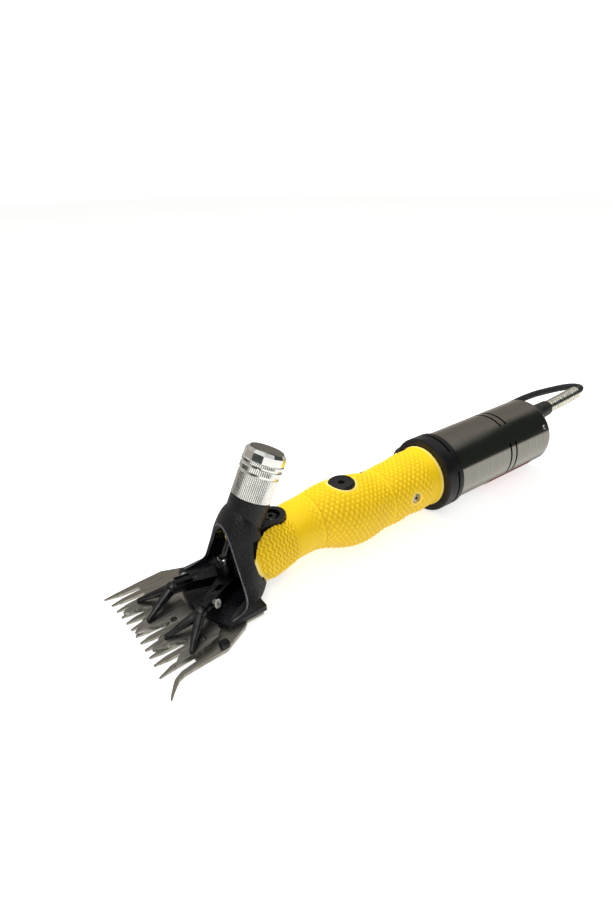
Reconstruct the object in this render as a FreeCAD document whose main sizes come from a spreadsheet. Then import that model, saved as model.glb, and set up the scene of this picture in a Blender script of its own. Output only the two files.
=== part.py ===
"""Sheep shears: the electric handpiece, with its comb, cutter, fork, tension gear, grip, motor and cord.

Frame: the origin is on the surface that the handpiece lies on, under the tip of the comb's middle tooth.
+X runs from the comb to the motor, +Y to the user's right, +Z up. Millimetres.
"""
import FreeCAD, Part
import Sketcher
import math
import os

from FreeCAD import Placement, Rotation, Vector

doc = FreeCAD.newDocument("SheepShears")
sheet = doc.addObject("Spreadsheet::Sheet", "Sizes")

SIZES = [
    # comb and cutter
    ("comb_pitch", 6.35),
    ("comb_teeth", 13),
    ("comb_thickness", 2.2),
    ("comb_tip_thickness", 1.4),
    ("comb_half_width", 40.7),
    ("stop_length", 5.4),
    ("stop_width", 5.2),
    ("stop_height", 2.6),
    ("stop_reach", 31.6),
    ("stop_inset", 0.1),
    ("comb_root", 18.0),
    ("comb_length", 64.0),
    ("comb_heel_half_width", 30.0),
    ("comb_tilt", 4.0),
    ("tooth_root_width", 3.7),
    ("tooth_mid_width", 3.0),
    ("tooth_tip_width", 0.9),
    ("tooth_mid_reach", 6.5),
    ("tip_arc", 2.0),
    ("comb_slot_width", 6.4),
    ("comb_slot_front", 43.5),
    ("comb_screw_spacing", 26.0),
    ("comb_screw_reach", 48.5),
    ("comb_screw_head_radius", 4.6),
    ("comb_screw_head_height", 2.0),
    ("comb_screw_radius", 2.5),
    ("cutter_clearance", 0.15),
    ("cutter_thickness", 3.2),
    ("cutter_pitch", 18.0),
    ("cutter_tip_reach", 1.1),
    ("cutter_outer_tip_reach", 3.9),
    ("cutter_crotch", 17.5),
    ("cutter_back", 35.0),
    ("cutter_back_middle", 31.0),
    ("cutter_half_width", 29.4),
    ("cutter_tip_thickness", 1.1),
    ("cutter_bevel", 9.0),
    ("finger_inner_reach", 10.4),
    ("finger_outer_reach", 14.4),
    ("finger_tip_radius", 1.3),
    ("finger_seat_depth", 0.8),
    ("seat_clearance", 0.1),
    ("cutter_hole_radius", 1.9),
    # fork
    ("pivot_reach", 72.0),
    ("swing_rest", 6.6),
    ("fork_floor", 8.0),
    ("fork_thickness", 6.0),
    ("arm_along", 0.946),
    ("arm_aside", 0.324),
    ("web_reach", 38.5),
    ("web_root", 24.0),
    ("web_half_width", 3.2),
    ("arm_height", 11.0),
    ("barrel_radius", 3.8),
    ("barrel_length", 11.0),
    ("hub_reach", 44.4),
    ("hub_setback", 1.6),
    ("hub_radius", 3.9),
    ("finger_root_radius", 3.3),
    ("stem_radius", 2.0),
    ("stem_ring_radius", 3.0),
    ("clamp_screw_radius", 1.5),
    ("clamp_head_radius", 2.6),
    ("post_radius", 4.0),
    ("post_neck_radius", 3.0),
    ("running_clearance", 0.05),
    ("cup_reach", 57.8),
    ("cup_radius", 3.4),
    ("cup_floor", 20.5),
    ("cup_top", 24.6),
    ("pin_radius", 1.9),
    ("pin_seat", 22.8),
    ("pin_top_reach", 69.5),
    ("pin_top", 42.6),
    # crank and drive
    ("handle_rise", 1.0),
    ("collar_radius", 26.6),
    ("collar_front", 216.5),
    ("collar_roll", 6.0),
    ("chamber_radius", 13.8),
    ("crank_reach", 88.0),
    ("chamber_depth", 8.0),
    ("crank_pin_radius", 1.6),
    ("roller_radius", 2.6),
    ("roller_length", 6.0),
    ("slot_clearance", 0.3),
    ("cheek_thickness", 2.0),
    ("shaft_radius", 4.0),
    ("bearing_radius", 8.0),
    ("bearing_width", 5.0),
    ("rear_bearing_place", 204.0),
    ("tube_radius", 13.0),
    ("tube_bore_radius", 11.0),
    ("motor_shaft_radius", 2.5),
    ("coupling_radius", 7.0),
    ("coupling_start", 210.0),
    # casting
    ("wall", 2.7),
    ("hood_front", 57.4),
    ("hood_back", 75.0),
    ("bed_front", 42.0),
    ("bed_front_middle", 33.9),
    ("bed_back", 66.0),
    ("bed_half_width", 30.5),
    ("bed_thickness", 3.4),
    ("spigot_radius", 15.6),
    ("spigot_depth", 10.0),
    ("spigot_tail", 10.0),
    ("neck_radius", 11.8),
    ("nut_base_reach", 77.5),
    ("nut_base_height", 60.7),
    ("nut_lean", 25.6),
    ("neck_depth", 24.0),
    ("ear_half_width", 8.3),
    ("ear_end", 91.3),
    ("ear_height", 19.9),
    ("ear_screw_radius", 4.2),
    ("ear_recess_depth", 3.0),
    # tension nut
    ("nut_radius", 12.0),
    ("nut_length", 29.7),
    ("nut_ceiling", 22.0),
    ("thread_radius", 10.2),
    ("thread_clearance", 0.08),
    ("thread_length", 18.0),
    ("sleeve_radius", 8.4),
    ("sleeve_depth", 18.0),
    ("socket_radius", 2.6),
    # grip
    ("grip_end", 219.5),
    ("grip_end_radius", 21.3),
    ("plug_place", 144.0),
    ("plug_radius", 8.6),
    ("plug_seat", 17.0),
    ("plug_top", 22.3),
    ("grip_screw_place", 192.2),
    ("grip_screw_radius", 3.3),
    ("grip_screw_top", 19.4),
    # motor
    ("case_start", 231.6),
    ("case_end", 334.0),
    ("case_radius", 25.0),
    ("case_wall", 1.2),
    ("case_shoulder", 5.0),
    ("vent_place", 284.0),
    ("vent_gap", 6.0),
    ("vent_width", 1.7),
    ("vent_angle", 58.0),
    ("plate_width", 5.0),
    ("stator_start", 240.0),
    ("stator_end", 276.0),
    ("stator_bore", 17.0),
    ("rotor_gap", 0.8),
    ("fan_start", 280.0),
    ("fan_width", 12.0),
    ("fan_radius", 21.0),
    ("bell_start", 298.0),
    ("bell_end", 329.0),
    ("case_screw_place", 325.0),
    ("case_screw_radius", 1.0),
    ("case_screw_head", 1.9),
    ("label_start", 268.0),
    ("label_end", 316.0),
    ("label_thickness", 0.3),
    # strain relief and cord
    ("exit_height", 9.6),
    ("exit_tilt", 5.06),
    ("gland_radius", 8.0),
    ("gland_length", 24.0),
    ("gland_hole_radius", 5.0),
    ("relief_radius", 5.2),
    ("relief_length", 64.0),
    ("cord_diameter", 5.6),
    ("hank_length", 104.0),
    ("hank_fold_radius", 16.8),
    ("connector_radius", 7.5),
    ("connector_length", 30.0),
    ("ring_radius", 8.4),
    ("ring_length", 13.0),
]

for row, (alias, value) in enumerate(SIZES, 1):
    sheet.set("A%d" % row, alias)
    sheet.set("B%d" % row, str(value))
    sheet.setAlias("B%d" % row, alias)
doc.recompute()


def size(expression):
    """The value of an expression of sheet aliases, such as "nut_radius - wall"."""
    return float(sheet.evalExpression(expression))


def bound(expression):
    """The same expression as another object has to write it, with each alias behind the sheet's name."""
    words = expression.replace("(", " ( ").replace(")", " ) ").split()
    names = {alias for alias, _ in SIZES}
    return " ".join("Sizes." + word if word in names else word for word in words)


def origin_plane(body, role):
    for feature in body.Origin.OriginFeatures:
        if feature.Role == role:
            return feature
    raise RuntimeError(role)


def new_body(label):
    body = doc.addObject("PartDesign::Body", label)
    body.Label = label
    return body


def new_sketch(body, role, offset="0"):
    sketch = body.newObject("Sketcher::SketchObject", body.Name + "_sketch")
    sketch.AttachmentSupport = (origin_plane(body, role), [""])
    sketch.MapMode = "FlatFace"
    sketch.AttachmentOffset = Placement(Vector(0, 0, size(offset)), Rotation())
    sketch.setExpression("AttachmentOffset.Base.z", bound(offset))
    return sketch


def tie(sketch, index, point, across, up):
    """Ties one point of a sketch to the sheet by its two distances from the sketch's origin."""
    for kind, expression in (("DistanceX", across), ("DistanceY", up)):
        number = sketch.addConstraint(
            Sketcher.Constraint(kind, -1, 1, index, point, size(expression))
        )
        sketch.setExpression("Constraints[%d]" % number, bound(expression))


def draw_polygon(sketch, corners):
    """Adds a closed polygon whose corners are pairs of expressions."""
    places = [Vector(size(across), size(up), 0) for across, up in corners]
    first = sketch.GeometryCount
    count = len(corners)
    for k in range(count):
        sketch.addGeometry(Part.LineSegment(places[k], places[(k + 1) % count]), False)
    for k in range(count):
        sketch.addConstraint(
            Sketcher.Constraint("Coincident", first + k, 2, first + (k + 1) % count, 1)
        )
    for k, (across, up) in enumerate(corners):
        tie(sketch, first + k, 1, across, up)


def draw_circle(sketch, across, up, radius):
    """Adds a circle whose centre and radius are expressions."""
    place = Vector(size(across), size(up), 0)
    index = sketch.addGeometry(Part.Circle(place, Vector(0, 0, 1), size(radius)), False)
    tie(sketch, index, 3, across, up)
    number = sketch.addConstraint(Sketcher.Constraint("Radius", index, size(radius)))
    sketch.setExpression("Constraints[%d]" % number, bound(radius))


def pad(body, sketch, length, symmetric=False, reverse=False):
    feature = body.newObject("PartDesign::Pad", body.Name + "_pad")
    feature.Profile = sketch
    feature.Length = size(length)
    feature.setExpression("Length", bound(length))
    feature.SideType = "Symmetric" if symmetric else "One side"
    feature.Reversed = reverse
    return feature


def pocket(body, sketch, length, symmetric=False, reverse=False):
    feature = body.newObject("PartDesign::Pocket", body.Name + "_pocket")
    feature.Profile = sketch
    feature.Length = size(length)
    feature.setExpression("Length", bound(length))
    feature.SideType = "Symmetric" if symmetric else "One side"
    feature.Reversed = reverse
    return feature


def revolve(body, sketch, axis, kind="Revolution"):
    feature = body.newObject("PartDesign::" + kind, body.Name + "_turn")
    feature.Profile = sketch
    feature.ReferenceAxis = (sketch, [axis])
    feature.Angle = 360.0
    return feature


def turned(label, corners, placement, axis="H_Axis"):
    """A piece turned round X (H_Axis, corners along and out) or round Z (V_Axis, corners out and along)."""
    body = new_body(label)
    sketch = new_sketch(body, "XZ_Plane")
    draw_polygon(sketch, corners)
    revolve(body, sketch, axis)
    body.Placement = placement
    return body


def polar(body, feature, role, count, angle=360.0):
    pattern = body.newObject("PartDesign::PolarPattern", body.Name + "_polar")
    pattern.Originals = [feature]
    pattern.Axis = (origin_plane(body, role), [""])
    pattern.Angle = angle
    pattern.Occurrences = count
    body.Tip = pattern
    return pattern


def feature_of(label, shape, placement=None):
    """A sub-part whose shape is made with Part's own functions from sizes in the sheet."""
    item = doc.addObject("Part::Feature", label)
    item.Label = label
    item.Shape = shape
    if placement is not None:
        item.Placement = placement
    return item


def rod(start, end, radius, end_radius=None):
    """A cylinder, or a cone where its end has another radius, from one point to another."""
    along = end - start
    if end_radius is None or abs(end_radius - radius) < 1e-9:
        return Part.makeCylinder(radius, along.Length, start, along)
    return Part.makeCone(radius, end_radius, along.Length, start, along)


# ---- frames of the parts -------------------------------------------------------------------------------
# The comb's plane: its top face is at height 0 of this frame, and it rises towards the heel.
tilt = size("comb_tilt")
comb_lift = max(
    size("comb_tip_thickness"),
    size("comb_thickness") * math.cos(math.radians(tilt))
    - size("comb_root") * math.sin(math.radians(tilt)),
)
comb_frame = Placement(Vector(0, 0, comb_lift), Rotation(Vector(0, 1, 0), -tilt))

# The fork swings about the centre post, square to the comb's plane. It rests at one end of its swing.
fork_frame = comb_frame.multiply(
    Placement(
        Vector(0, 0, 0),
        Rotation(Vector(0, 0, 1), size("swing_rest")),
        Vector(size("pivot_reach"), 0, 0),
    )
)

# The handle's axis rises to the rear. The front edge of the collar touches the surface.
rise = math.radians(size("handle_rise"))
handle_height = size("collar_radius") * math.cos(rise) - size("collar_front") * math.sin(rise)
handle_frame = Placement(
    Vector(0, 0, handle_height), Rotation(Vector(0, 1, 0), -size("handle_rise"))
)

# The tension nut's axis leans back from the head.
nut_frame = Placement(
    Vector(size("nut_base_reach"), 0, size("nut_base_height")),
    Rotation(Vector(0, 1, 0), size("nut_lean")),
)

# The cord leaves the motor's rear above its centre and points slightly up.
exit_point = handle_frame.multVec(Vector(size("case_end"), 0, size("exit_height")))
exit_frame = Placement(exit_point, Rotation(Vector(0, 1, 0), -size("exit_tilt")))


# ---- comb ----------------------------------------------------------------------------------------------
comb = new_body("comb")
comb_outline = new_sketch(comb, "XY_Plane")
half_outline = [
    ("comb_root", "comb_half_width"),
    ("comb_root + 16", "comb_half_width"),
    ("comb_root + 32", "comb_heel_half_width + 3"),
    ("comb_root + 35", "comb_heel_half_width"),
    ("comb_length", "comb_heel_half_width"),
]
slot_edges = []
for side in (1, -1):
    centre = "%d * comb_screw_spacing / 2" % side
    near = (centre + " + %d * comb_slot_width / 2" % side)
    far = (centre + " - %d * comb_slot_width / 2" % side)
    corners = [
        ("comb_length", near),
        ("comb_slot_front + comb_slot_width / 4", near),
        ("comb_slot_front", centre),
        ("comb_slot_front + comb_slot_width / 4", far),
        ("comb_length", far),
    ]
    slot_edges += corners if side == 1 else corners[::-1]
draw_polygon(
    comb_outline,
    half_outline + slot_edges + [(x, "-1 * ( " + y + " )") for x, y in half_outline[::-1]],
)
pad(comb, comb_outline, "comb_thickness", reverse=True)

# Regular teeth, then the flared ones at the edges: (shift of the tip outwards, its reach forward).
teeth = new_sketch(comb, "XY_Plane")
teeth_count = int(size("comb_teeth"))
middle = (teeth_count - 1) / 2
FLARE = {0: (1.7, 1.0), 1: (0.4, 0.0), teeth_count - 2: (2.9, 0.6)}
for k in range(teeth_count - 1):
    place = "( %g - %d ) * comb_pitch" % (middle, k)
    shift, reach = FLARE.get(k, (0.0, 0.0))
    shift = math.copysign(shift, middle - k)
    tip_place = place + " + %g" % shift
    tip = "-1 * tip_arc * %g - %g" % (((k - middle) / middle) ** 2, reach)
    root = "comb_root + 1"
    outer_root = "comb_half_width" if k == 0 else place + " + tooth_root_width / 2"
    draw_polygon(
        teeth,
        [
            (root, outer_root),
            ("tooth_mid_reach", place + " + %g + tooth_mid_width / 2" % (shift / 3)),
            (tip, tip_place + " + tooth_tip_width / 2"),
            (tip, tip_place + " - tooth_tip_width / 2"),
            ("tooth_mid_reach", place + " + %g - tooth_mid_width / 2" % (shift / 3)),
            (root, place + " - tooth_root_width / 2"),
        ],
    )
# The last tooth on the left side of the head is bent far outwards.
edge = "-1 * comb_half_width"
draw_polygon(
    teeth,
    [
        ("comb_root + 1", edge),
        ("comb_root - 8.6", edge + " - 0.6"),
        ("comb_root - 12.8", edge + " - 2.0"),
        ("comb_root - 15.6", edge + " - 4.6"),
        ("comb_root - 18.2", edge + " - 7.3"),
        ("comb_root - 20.9", edge + " - 10.4"),
        ("comb_root - 21.5", edge + " - 10.0"),
        ("comb_root - 19.4", edge + " - 6.5"),
        ("comb_root - 17", edge + " - 3.4"),
        ("comb_root - 14.4", edge + " - 0.2"),
        ("comb_root - 9.4", edge + " + 2.2"),
        ("comb_root + 1", edge + " + 3.4"),
    ],
)
pad(comb, teeth, "comb_thickness", reverse=True)

# The teeth thin towards their tips, from below, and their points are bevelled on top.
taper = "( comb_thickness - comb_tip_thickness ) / comb_root"
below = new_sketch(comb, "XZ_Plane")
draw_polygon(
    below,
    [
        ("comb_root", "-1 * comb_thickness"),
        ("comb_root", "-1 * comb_thickness - 1"),
        ("-10", "-1 * comb_thickness - 1"),
        ("-10", "-1 * comb_tip_thickness + 10 * " + taper),
    ],
)
pocket(comb, below, "4 * comb_half_width", symmetric=True)
above = new_sketch(comb, "XZ_Plane")
draw_polygon(above, [("5", "0"), ("5", "1"), ("-10", "1"), ("-10", "-1.2")])
pocket(comb, above, "4 * comb_half_width", symmetric=True)
comb.Placement = comb_frame

# Screws that hold the comb to the bed from below, one node.
screw_solids = []
for side in (1, -1):
    place = Vector(size("comb_screw_reach"), side * size("comb_screw_spacing") / 2, 0)
    under = -size("comb_thickness")
    head = Part.makeCylinder(
        size("comb_screw_head_radius"),
        size("comb_screw_head_height"),
        place + Vector(0, 0, under - size("comb_screw_head_height")),
    )
    head = head.makeChamfer(
        0.5, [e for e in head.Edges if abs(e.BoundBox.ZMax - head.BoundBox.ZMin) < 1e-6]
    )
    slot = Part.makeBox(
        2 * size("comb_screw_head_radius"),
        1.2,
        0.9,
        place + Vector(-size("comb_screw_head_radius"), -0.6, under - size("comb_screw_head_height")),
    )
    shank_length = size("comb_thickness") + size("bed_thickness") + 0.8
    shank = Part.makeCylinder(size("comb_screw_radius"), shank_length, place + Vector(0, 0, under))
    screw_solids.append(head.cut(slot).fuse(shank).removeSplitter())
feature_of("comb_screws", Part.makeCompound(screw_solids), comb_frame)

# A small stop on the comb's top, beside the cutter's left corner.
stop = Part.makeBox(
    size("stop_length"),
    size("stop_width"),
    size("stop_height"),
    Vector(size("stop_reach"), -size("comb_half_width - stop_inset"), 0),
)
stop = stop.makeFillet(1.6, [e for e in stop.Edges if e.BoundBox.ZLength > size("stop_height") - 0.1])
stop = stop.makeFillet(0.7, [e for e in stop.Edges if e.BoundBox.ZMin > size("stop_height") - 0.1])
feature_of("comb_stop", stop, comb_frame)

# ---- cutter --------------------------------------------------------------------------------------------
cutter = new_body("cutter")
cutter_outline = new_sketch(cutter, "XY_Plane", "cutter_clearance")
half = [
    ("cutter_back_middle", "0"),
    ("cutter_back_middle + 2.2", "cutter_half_width - 16"),
    ("cutter_back", "cutter_half_width - 9"),
    ("cutter_back - 1", "cutter_half_width - 4.5"),
    ("cutter_back - 5", "cutter_half_width - 1"),
    ("cutter_back - 10", "cutter_half_width"),
    ("cutter_crotch - 2", "cutter_half_width"),
    ("cutter_outer_tip_reach", "1.5 * cutter_pitch + 0.5"),
    ("cutter_outer_tip_reach", "1.5 * cutter_pitch - 0.5"),
    ("cutter_crotch", "cutter_pitch + 0.8"),
    ("cutter_crotch", "cutter_pitch - 0.8"),
    ("cutter_tip_reach", "0.5 * cutter_pitch + 0.5"),
    ("cutter_tip_reach", "0.5 * cutter_pitch - 0.5"),
    ("cutter_crotch", "0.8"),
]
mirrored = [(x, "-1 * ( " + y + " )") for x, y in half[:0:-1]]
draw_polygon(cutter_outline, half + mirrored)
pad(cutter, cutter_outline, "cutter_thickness")
bevel = new_sketch(cutter, "XZ_Plane")
top_of_cutter = "cutter_clearance + cutter_thickness"
draw_polygon(
    bevel,
    [
        ("cutter_bevel", top_of_cutter),
        ("cutter_bevel", top_of_cutter + " + 1"),
        ("-5", top_of_cutter + " + 1"),
        ("-5", "cutter_clearance"),
        ("cutter_tip_reach", "cutter_clearance + cutter_tip_thickness"),
    ],
)
pocket(cutter, bevel, "4 * cutter_half_width", symmetric=True)
holes = new_sketch(cutter, "XY_Plane", "cutter_clearance")
for x, y in (
    ("cutter_back - 11.5", "cutter_half_width - 5.6"),
    ("cutter_back - 11.5", "5.6 - cutter_half_width"),
    ("cutter_crotch + 3", "0"),
):
    draw_circle(holes, x, y, "cutter_hole_radius")
pocket(cutter, holes, "2 * cutter_thickness", symmetric=True)


def slope_height(reach):
    """The height of the cutter's top at a distance behind the comb's tips."""
    start = size("cutter_tip_reach")
    end = size("cutter_bevel")
    low = size("cutter_clearance + cutter_tip_thickness")
    high = size(top_of_cutter)
    share = min(1.0, (reach - start) / (end - start))
    return low + share * (high - low)


# One seat in the cutter's top for each finger of the yokes.
seats = new_sketch(cutter, "XY_Plane", "cutter_clearance + cutter_thickness")
for side in (1, -1):
    for reach, share in (("finger_inner_reach", 0.5), ("finger_outer_reach", 1.5)):
        draw_circle(
            seats, reach, "%g * cutter_pitch" % (side * share), "finger_tip_radius + seat_clearance"
        )
seat_floor = slope_height(size("finger_inner_reach")) - size("finger_seat_depth")
pocket(cutter, seats, top_of_cutter + " - %.4f" % seat_floor)
cutter.Placement = fork_frame

# ---- fork ----------------------------------------------------------------------------------------------
spread = math.atan2(size("arm_aside"), size("arm_along"))
pivot = size("pivot_reach")
barrel_front = size("hub_reach - hub_setback")
barrel_back = barrel_front - size("barrel_length")


def on_arm(side, reach, height):
    """A point over one arm's line: reach is its distance from the centre post."""
    return Vector(
        pivot - reach * math.cos(spread), side * reach * math.sin(spread), height
    )


fork = new_body("fork_body_core")
fork_outline = new_sketch(fork, "XY_Plane", "fork_floor")
web_tip = ("pivot_reach - web_reach * arm_along", "web_reach * arm_aside")
web_foot = ("pivot_reach - web_root * arm_along", "web_root * arm_aside")
fork_half = [
    ("pivot_reach - 19", "0"),
    (web_tip[0] + " - web_half_width * arm_aside", web_tip[1] + " - web_half_width * arm_along"),
    (web_tip[0] + " + web_half_width * arm_aside", web_tip[1] + " + web_half_width * arm_along"),
    (web_foot[0] + " + web_half_width * arm_aside", web_foot[1] + " + web_half_width * arm_along"),
    ("pivot_reach - 12", "9.4"),
    ("pivot_reach", "8.2"),
    ("pivot_reach + 9", "6.4"),
    ("pivot_reach + 12", "6.0"),
]
draw_polygon(
    fork_outline, fork_half + [(x, "-1 * ( " + y + " )") for x, y in fork_half[:0:-1]]
)
pad(fork, fork_outline, "fork_thickness")
boss = new_sketch(fork, "XY_Plane", "fork_floor")
draw_circle(boss, "cup_reach", "0", "cup_radius + 1.8")
pad(fork, boss, "cup_floor - fork_floor")
post_bore = new_sketch(fork, "XY_Plane", "fork_floor")
draw_circle(post_bore, "pivot_reach", "0", "post_neck_radius + running_clearance")
pocket(fork, post_bore, "fork_thickness - 1.5", reverse=True)

# The rear of the fork: a base plate and two cheeks either side of the crank's roller.
crank_centre = comb_frame.inverse().multVec(handle_frame.multVec(Vector(size("crank_reach"), 0, 0)))
crank_throw = (crank_centre.x - pivot) * math.tan(math.radians(size("swing_rest")))
slot_half = 2 * crank_throw + size("roller_radius") + size("slot_clearance")
orbit = crank_throw + size("roller_radius")
cheek_outer = slot_half + size("cheek_thickness")
cheek_floor = crank_centre.z - orbit - 2.4
cheek_top = crank_centre.z + orbit + 0.4
half_roller = size("roller_length") / 2
rear_start = size("pivot_reach") + 10
rear_end = crank_centre.x + half_roller + 0.6
rear_plate = Part.makeBox(
    rear_end - rear_start, 2 * cheek_outer, 2.0, Vector(rear_start, -cheek_outer, cheek_floor)
)
for side in (1, -1):
    wedge = Part.makePolygon(
        [
            Vector(rear_start - 1, side * cheek_outer, cheek_floor - 1),
            Vector(rear_start - 1, side * 5.0, cheek_floor - 1),
            Vector(rear_start + 3, side * cheek_outer, cheek_floor - 1),
            Vector(rear_start - 1, side * cheek_outer, cheek_floor - 1),
        ]
    )
    rear_plate = rear_plate.cut(Part.Face(wedge).extrude(Vector(0, 0, 4)))
cheeks = []
for side in (1, -1):
    low = slot_half if side == 1 else -cheek_outer
    cheeks.append(
        Part.makeBox(
            2 * half_roller + 1.2,
            size("cheek_thickness"),
            cheek_top - cheek_floor,
            Vector(rear_end - 2 * half_roller - 1.2, low, cheek_floor),
        )
    )

# Each arm ends in a barrel for the yoke's stem. The right one has a clamp pad on its outer side.
barrels = []
for side in (1, -1):
    start = on_arm(side, barrel_front, size("arm_height"))
    end = on_arm(side, barrel_back, size("arm_height"))
    barrels.append(rod(start, end, size("barrel_radius")))
doc.recompute()
fork_solid = fork.Shape.copy()
for piece in barrels + [rear_plate] + cheeks:
    fork_solid = fork_solid.fuse(piece)

pad_length = size("barrel_length") - 1
pad_frame = Placement(
    on_arm(1, barrel_front - 0.5, size("arm_height") + size("barrel_radius") - 1.2),
    Rotation(Vector(0, 0, 1), -math.degrees(spread)),
)
clamp_pad = Part.makeBox(pad_length, 5.6, 2.2, Vector(0, -3.1, 0))
pad_recess = Part.makeBox(pad_length - 1.6, 4.0, 1.0, Vector(0.8, -2.3, 1.5))
clamp_pad = clamp_pad.cut(pad_recess)
clamp_pad.Placement = pad_frame
fork_solid = fork_solid.fuse(clamp_pad)

# Bores for the stems and for their clamp screws.
for side in (1, -1):
    start = on_arm(side, barrel_front + 1, size("arm_height"))
    end = on_arm(side, barrel_back - 8, size("arm_height"))
    fork_solid = fork_solid.cut(rod(start, end, size("stem_radius")))
    nose_clear = on_arm(side, barrel_back, size("arm_height"))
    fork_solid = fork_solid.cut(rod(nose_clear, end, size("stem_ring_radius") + 0.4))
screw_axes = []
for side in (1, -1):
    centre = on_arm(side, barrel_front - 0.62 * size("barrel_length"), size("arm_height"))
    outward = Vector(math.sin(spread), math.cos(spread) * side, 0.25)
    outward.normalize()
    seat = centre + outward * (size("barrel_radius") - 0.1)
    tip = centre + outward * (size("stem_radius") + 0.02)
    screw_axes.append((seat, tip, outward))
    fork_solid = fork_solid.cut(
        rod(centre + outward * 0.8, centre + outward * 9, size("clamp_screw_radius"))
    )
feature_of("fork_body", fork_solid, fork_frame)

# Clamp screws, one node.
clamp_screws = []
for seat, tip, outward in screw_axes:
    head_start = seat + outward * 0.15
    head = rod(head_start, head_start + outward * 2.0, size("clamp_head_radius"))
    slot = Part.makeCylinder(1.1, 1.2, head_start + outward * 1.0, outward)
    shank = rod(tip, head_start, size("clamp_screw_radius"))
    clamp_screws.append(head.cut(slot).fuse(shank).removeSplitter())
feature_of("yoke_screws", Part.makeCompound(clamp_screws), fork_frame)

# ---- yokes: a hub with two tapered fingers and a stem ----------------------------------------------------
for side, label in ((1, "right_yoke"), (-1, "left_yoke")):
    hub_centre = on_arm(side, size("hub_reach"), size("arm_height"))
    head = Part.makeSphere(size("hub_radius"), hub_centre)
    for reach, share in (("finger_inner_reach", 0.5), ("finger_outer_reach", 1.5)):
        y = side * share * size("cutter_pitch")
        floor = seat_floor + size("seat_clearance")
        foot = Vector(size(reach), y, floor)
        ankle = Vector(size(reach), y, floor + size("finger_seat_depth") + 1.0)
        head = head.fuse(rod(foot, ankle, size("finger_tip_radius")))
        head = head.fuse(Part.makeSphere(size("finger_tip_radius"), ankle))
        head = head.fuse(
            rod(ankle, hub_centre, size("finger_tip_radius"), size("finger_root_radius"))
        )
    # The head is flat where it faces the fork's barrel, and its stem goes through the barrel.
    face = on_arm(side, barrel_front + 0.1, size("arm_height"))
    behind = on_arm(side, barrel_back, size("arm_height"))
    head = head.cut(rod(face, behind, 3 * size("hub_radius")))
    yoke = head.fuse(rod(hub_centre, behind, size("stem_radius")))
    toward = on_arm(side, 0, size("arm_height")) - behind
    toward.normalize()
    ring_end = behind + toward * 2.4
    yoke = yoke.fuse(rod(behind, ring_end, size("stem_ring_radius")))
    yoke = yoke.fuse(rod(ring_end, ring_end + toward * 2.4, 1.9))
    yoke = yoke.fuse(rod(ring_end + toward * 2.4, ring_end + toward * 4.8, 1.7, 0.7))
    feature_of(label, yoke.removeSplitter(), fork_frame)

# ---- tension cup and pin ---------------------------------------------------------------------------------
cup = turned(
    "tension_cup",
    [
        ("0", "cup_floor"),
        ("cup_radius", "cup_floor"),
        ("cup_radius", "cup_top - 0.4"),
        ("cup_radius - 0.4", "cup_top"),
        ("cup_radius - 0.9", "cup_top"),
        ("0.4", "pin_seat - 0.3"),
        ("0", "pin_seat - 0.3"),
    ],
    fork_frame.multiply(Placement(Vector(size("cup_reach"), 0, 0), Rotation())),
    axis="V_Axis",
)
pin_foot = Vector(size("cup_reach"), 0, size("pin_seat"))
pin_head = Vector(size("pin_top_reach"), 0, size("pin_top"))
pin_axis = pin_head - pin_foot
pin_axis.normalize()
ball = size("pin_radius") * 0.62
pin = rod(pin_foot + pin_axis * ball, pin_foot + pin_axis * (ball + 2.4), ball, size("pin_radius"))
pin = pin.fuse(Part.makeSphere(ball, pin_foot + pin_axis * ball))
pin = pin.fuse(rod(pin_foot + pin_axis * (ball + 2.4), pin_head, size("pin_radius")))
pin = pin.fuse(Part.makeSphere(size("pin_radius"), pin_head))
doc.recompute()
cup_solid = cup.Shape.copy()
pin.Placement = fork_frame
pin = pin.cut(cup_solid)
feature_of("tension_pin", pin.removeSplitter())

# ---- tension sleeve and nut ------------------------------------------------------------------------------
pin_top_world = fork_frame.multVec(pin_head)
pin_centre_world = comb_frame.multVec(pin_head)
socket = nut_frame.inverse().multVec(pin_centre_world)
socket_top = nut_frame.inverse().multVec(pin_top_world).z + size("pin_radius") + 0.35
sleeve_core = Part.makeCylinder(
    size("sleeve_radius"),
    size("sleeve_depth") + size("nut_ceiling") - 0.3,
    Vector(0, 0, -size("sleeve_depth")),
)
sleeve_socket = Part.makeCylinder(
    size("socket_radius"),
    socket_top + size("sleeve_depth") + 1,
    Vector(socket.x, 0, -size("sleeve_depth") - 1),
)
sleeve = sleeve_core.cut(sleeve_socket)
feature_of("tension_sleeve", sleeve, nut_frame)

groove_low = "nut_length - 14.8"
groove_high = "nut_length - 10.4"
turned(
    "tension_nut",
    [
        ("0", "nut_ceiling"),
        ("thread_radius + thread_clearance", "nut_ceiling"),
        ("thread_radius + thread_clearance", "0.4"),
        ("thread_radius + 0.4", "0"),
        ("nut_radius - 0.5", "0"),
        ("nut_radius", "0.5"),
        ("nut_radius", groove_low),
        ("nut_radius - 0.9", groove_low + " + 0.3"),
        ("nut_radius - 0.9", groove_low + " + 1.2"),
        ("nut_radius + 0.3", groove_low + " + 1.5"),
        ("nut_radius + 0.3", groove_high),
        ("nut_radius - 0.9", groove_high + " + 0.3"),
        ("nut_radius - 0.9", groove_high + " + 1.2"),
        ("nut_radius + 0.5", groove_high + " + 1.5"),
        ("nut_radius + 0.5", "nut_length - 7.2"),
        ("nut_radius + 0.2", "nut_length - 6.8"),
        ("nut_radius + 0.2", "nut_length - 2.6"),
        ("nut_radius - 1.0", "nut_length - 0.6"),
        ("nut_radius - 2.0", "nut_length - 0.6"),
        ("0", "nut_length - 0.6"),
    ],
    nut_frame,
    axis="V_Axis",
)
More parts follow.
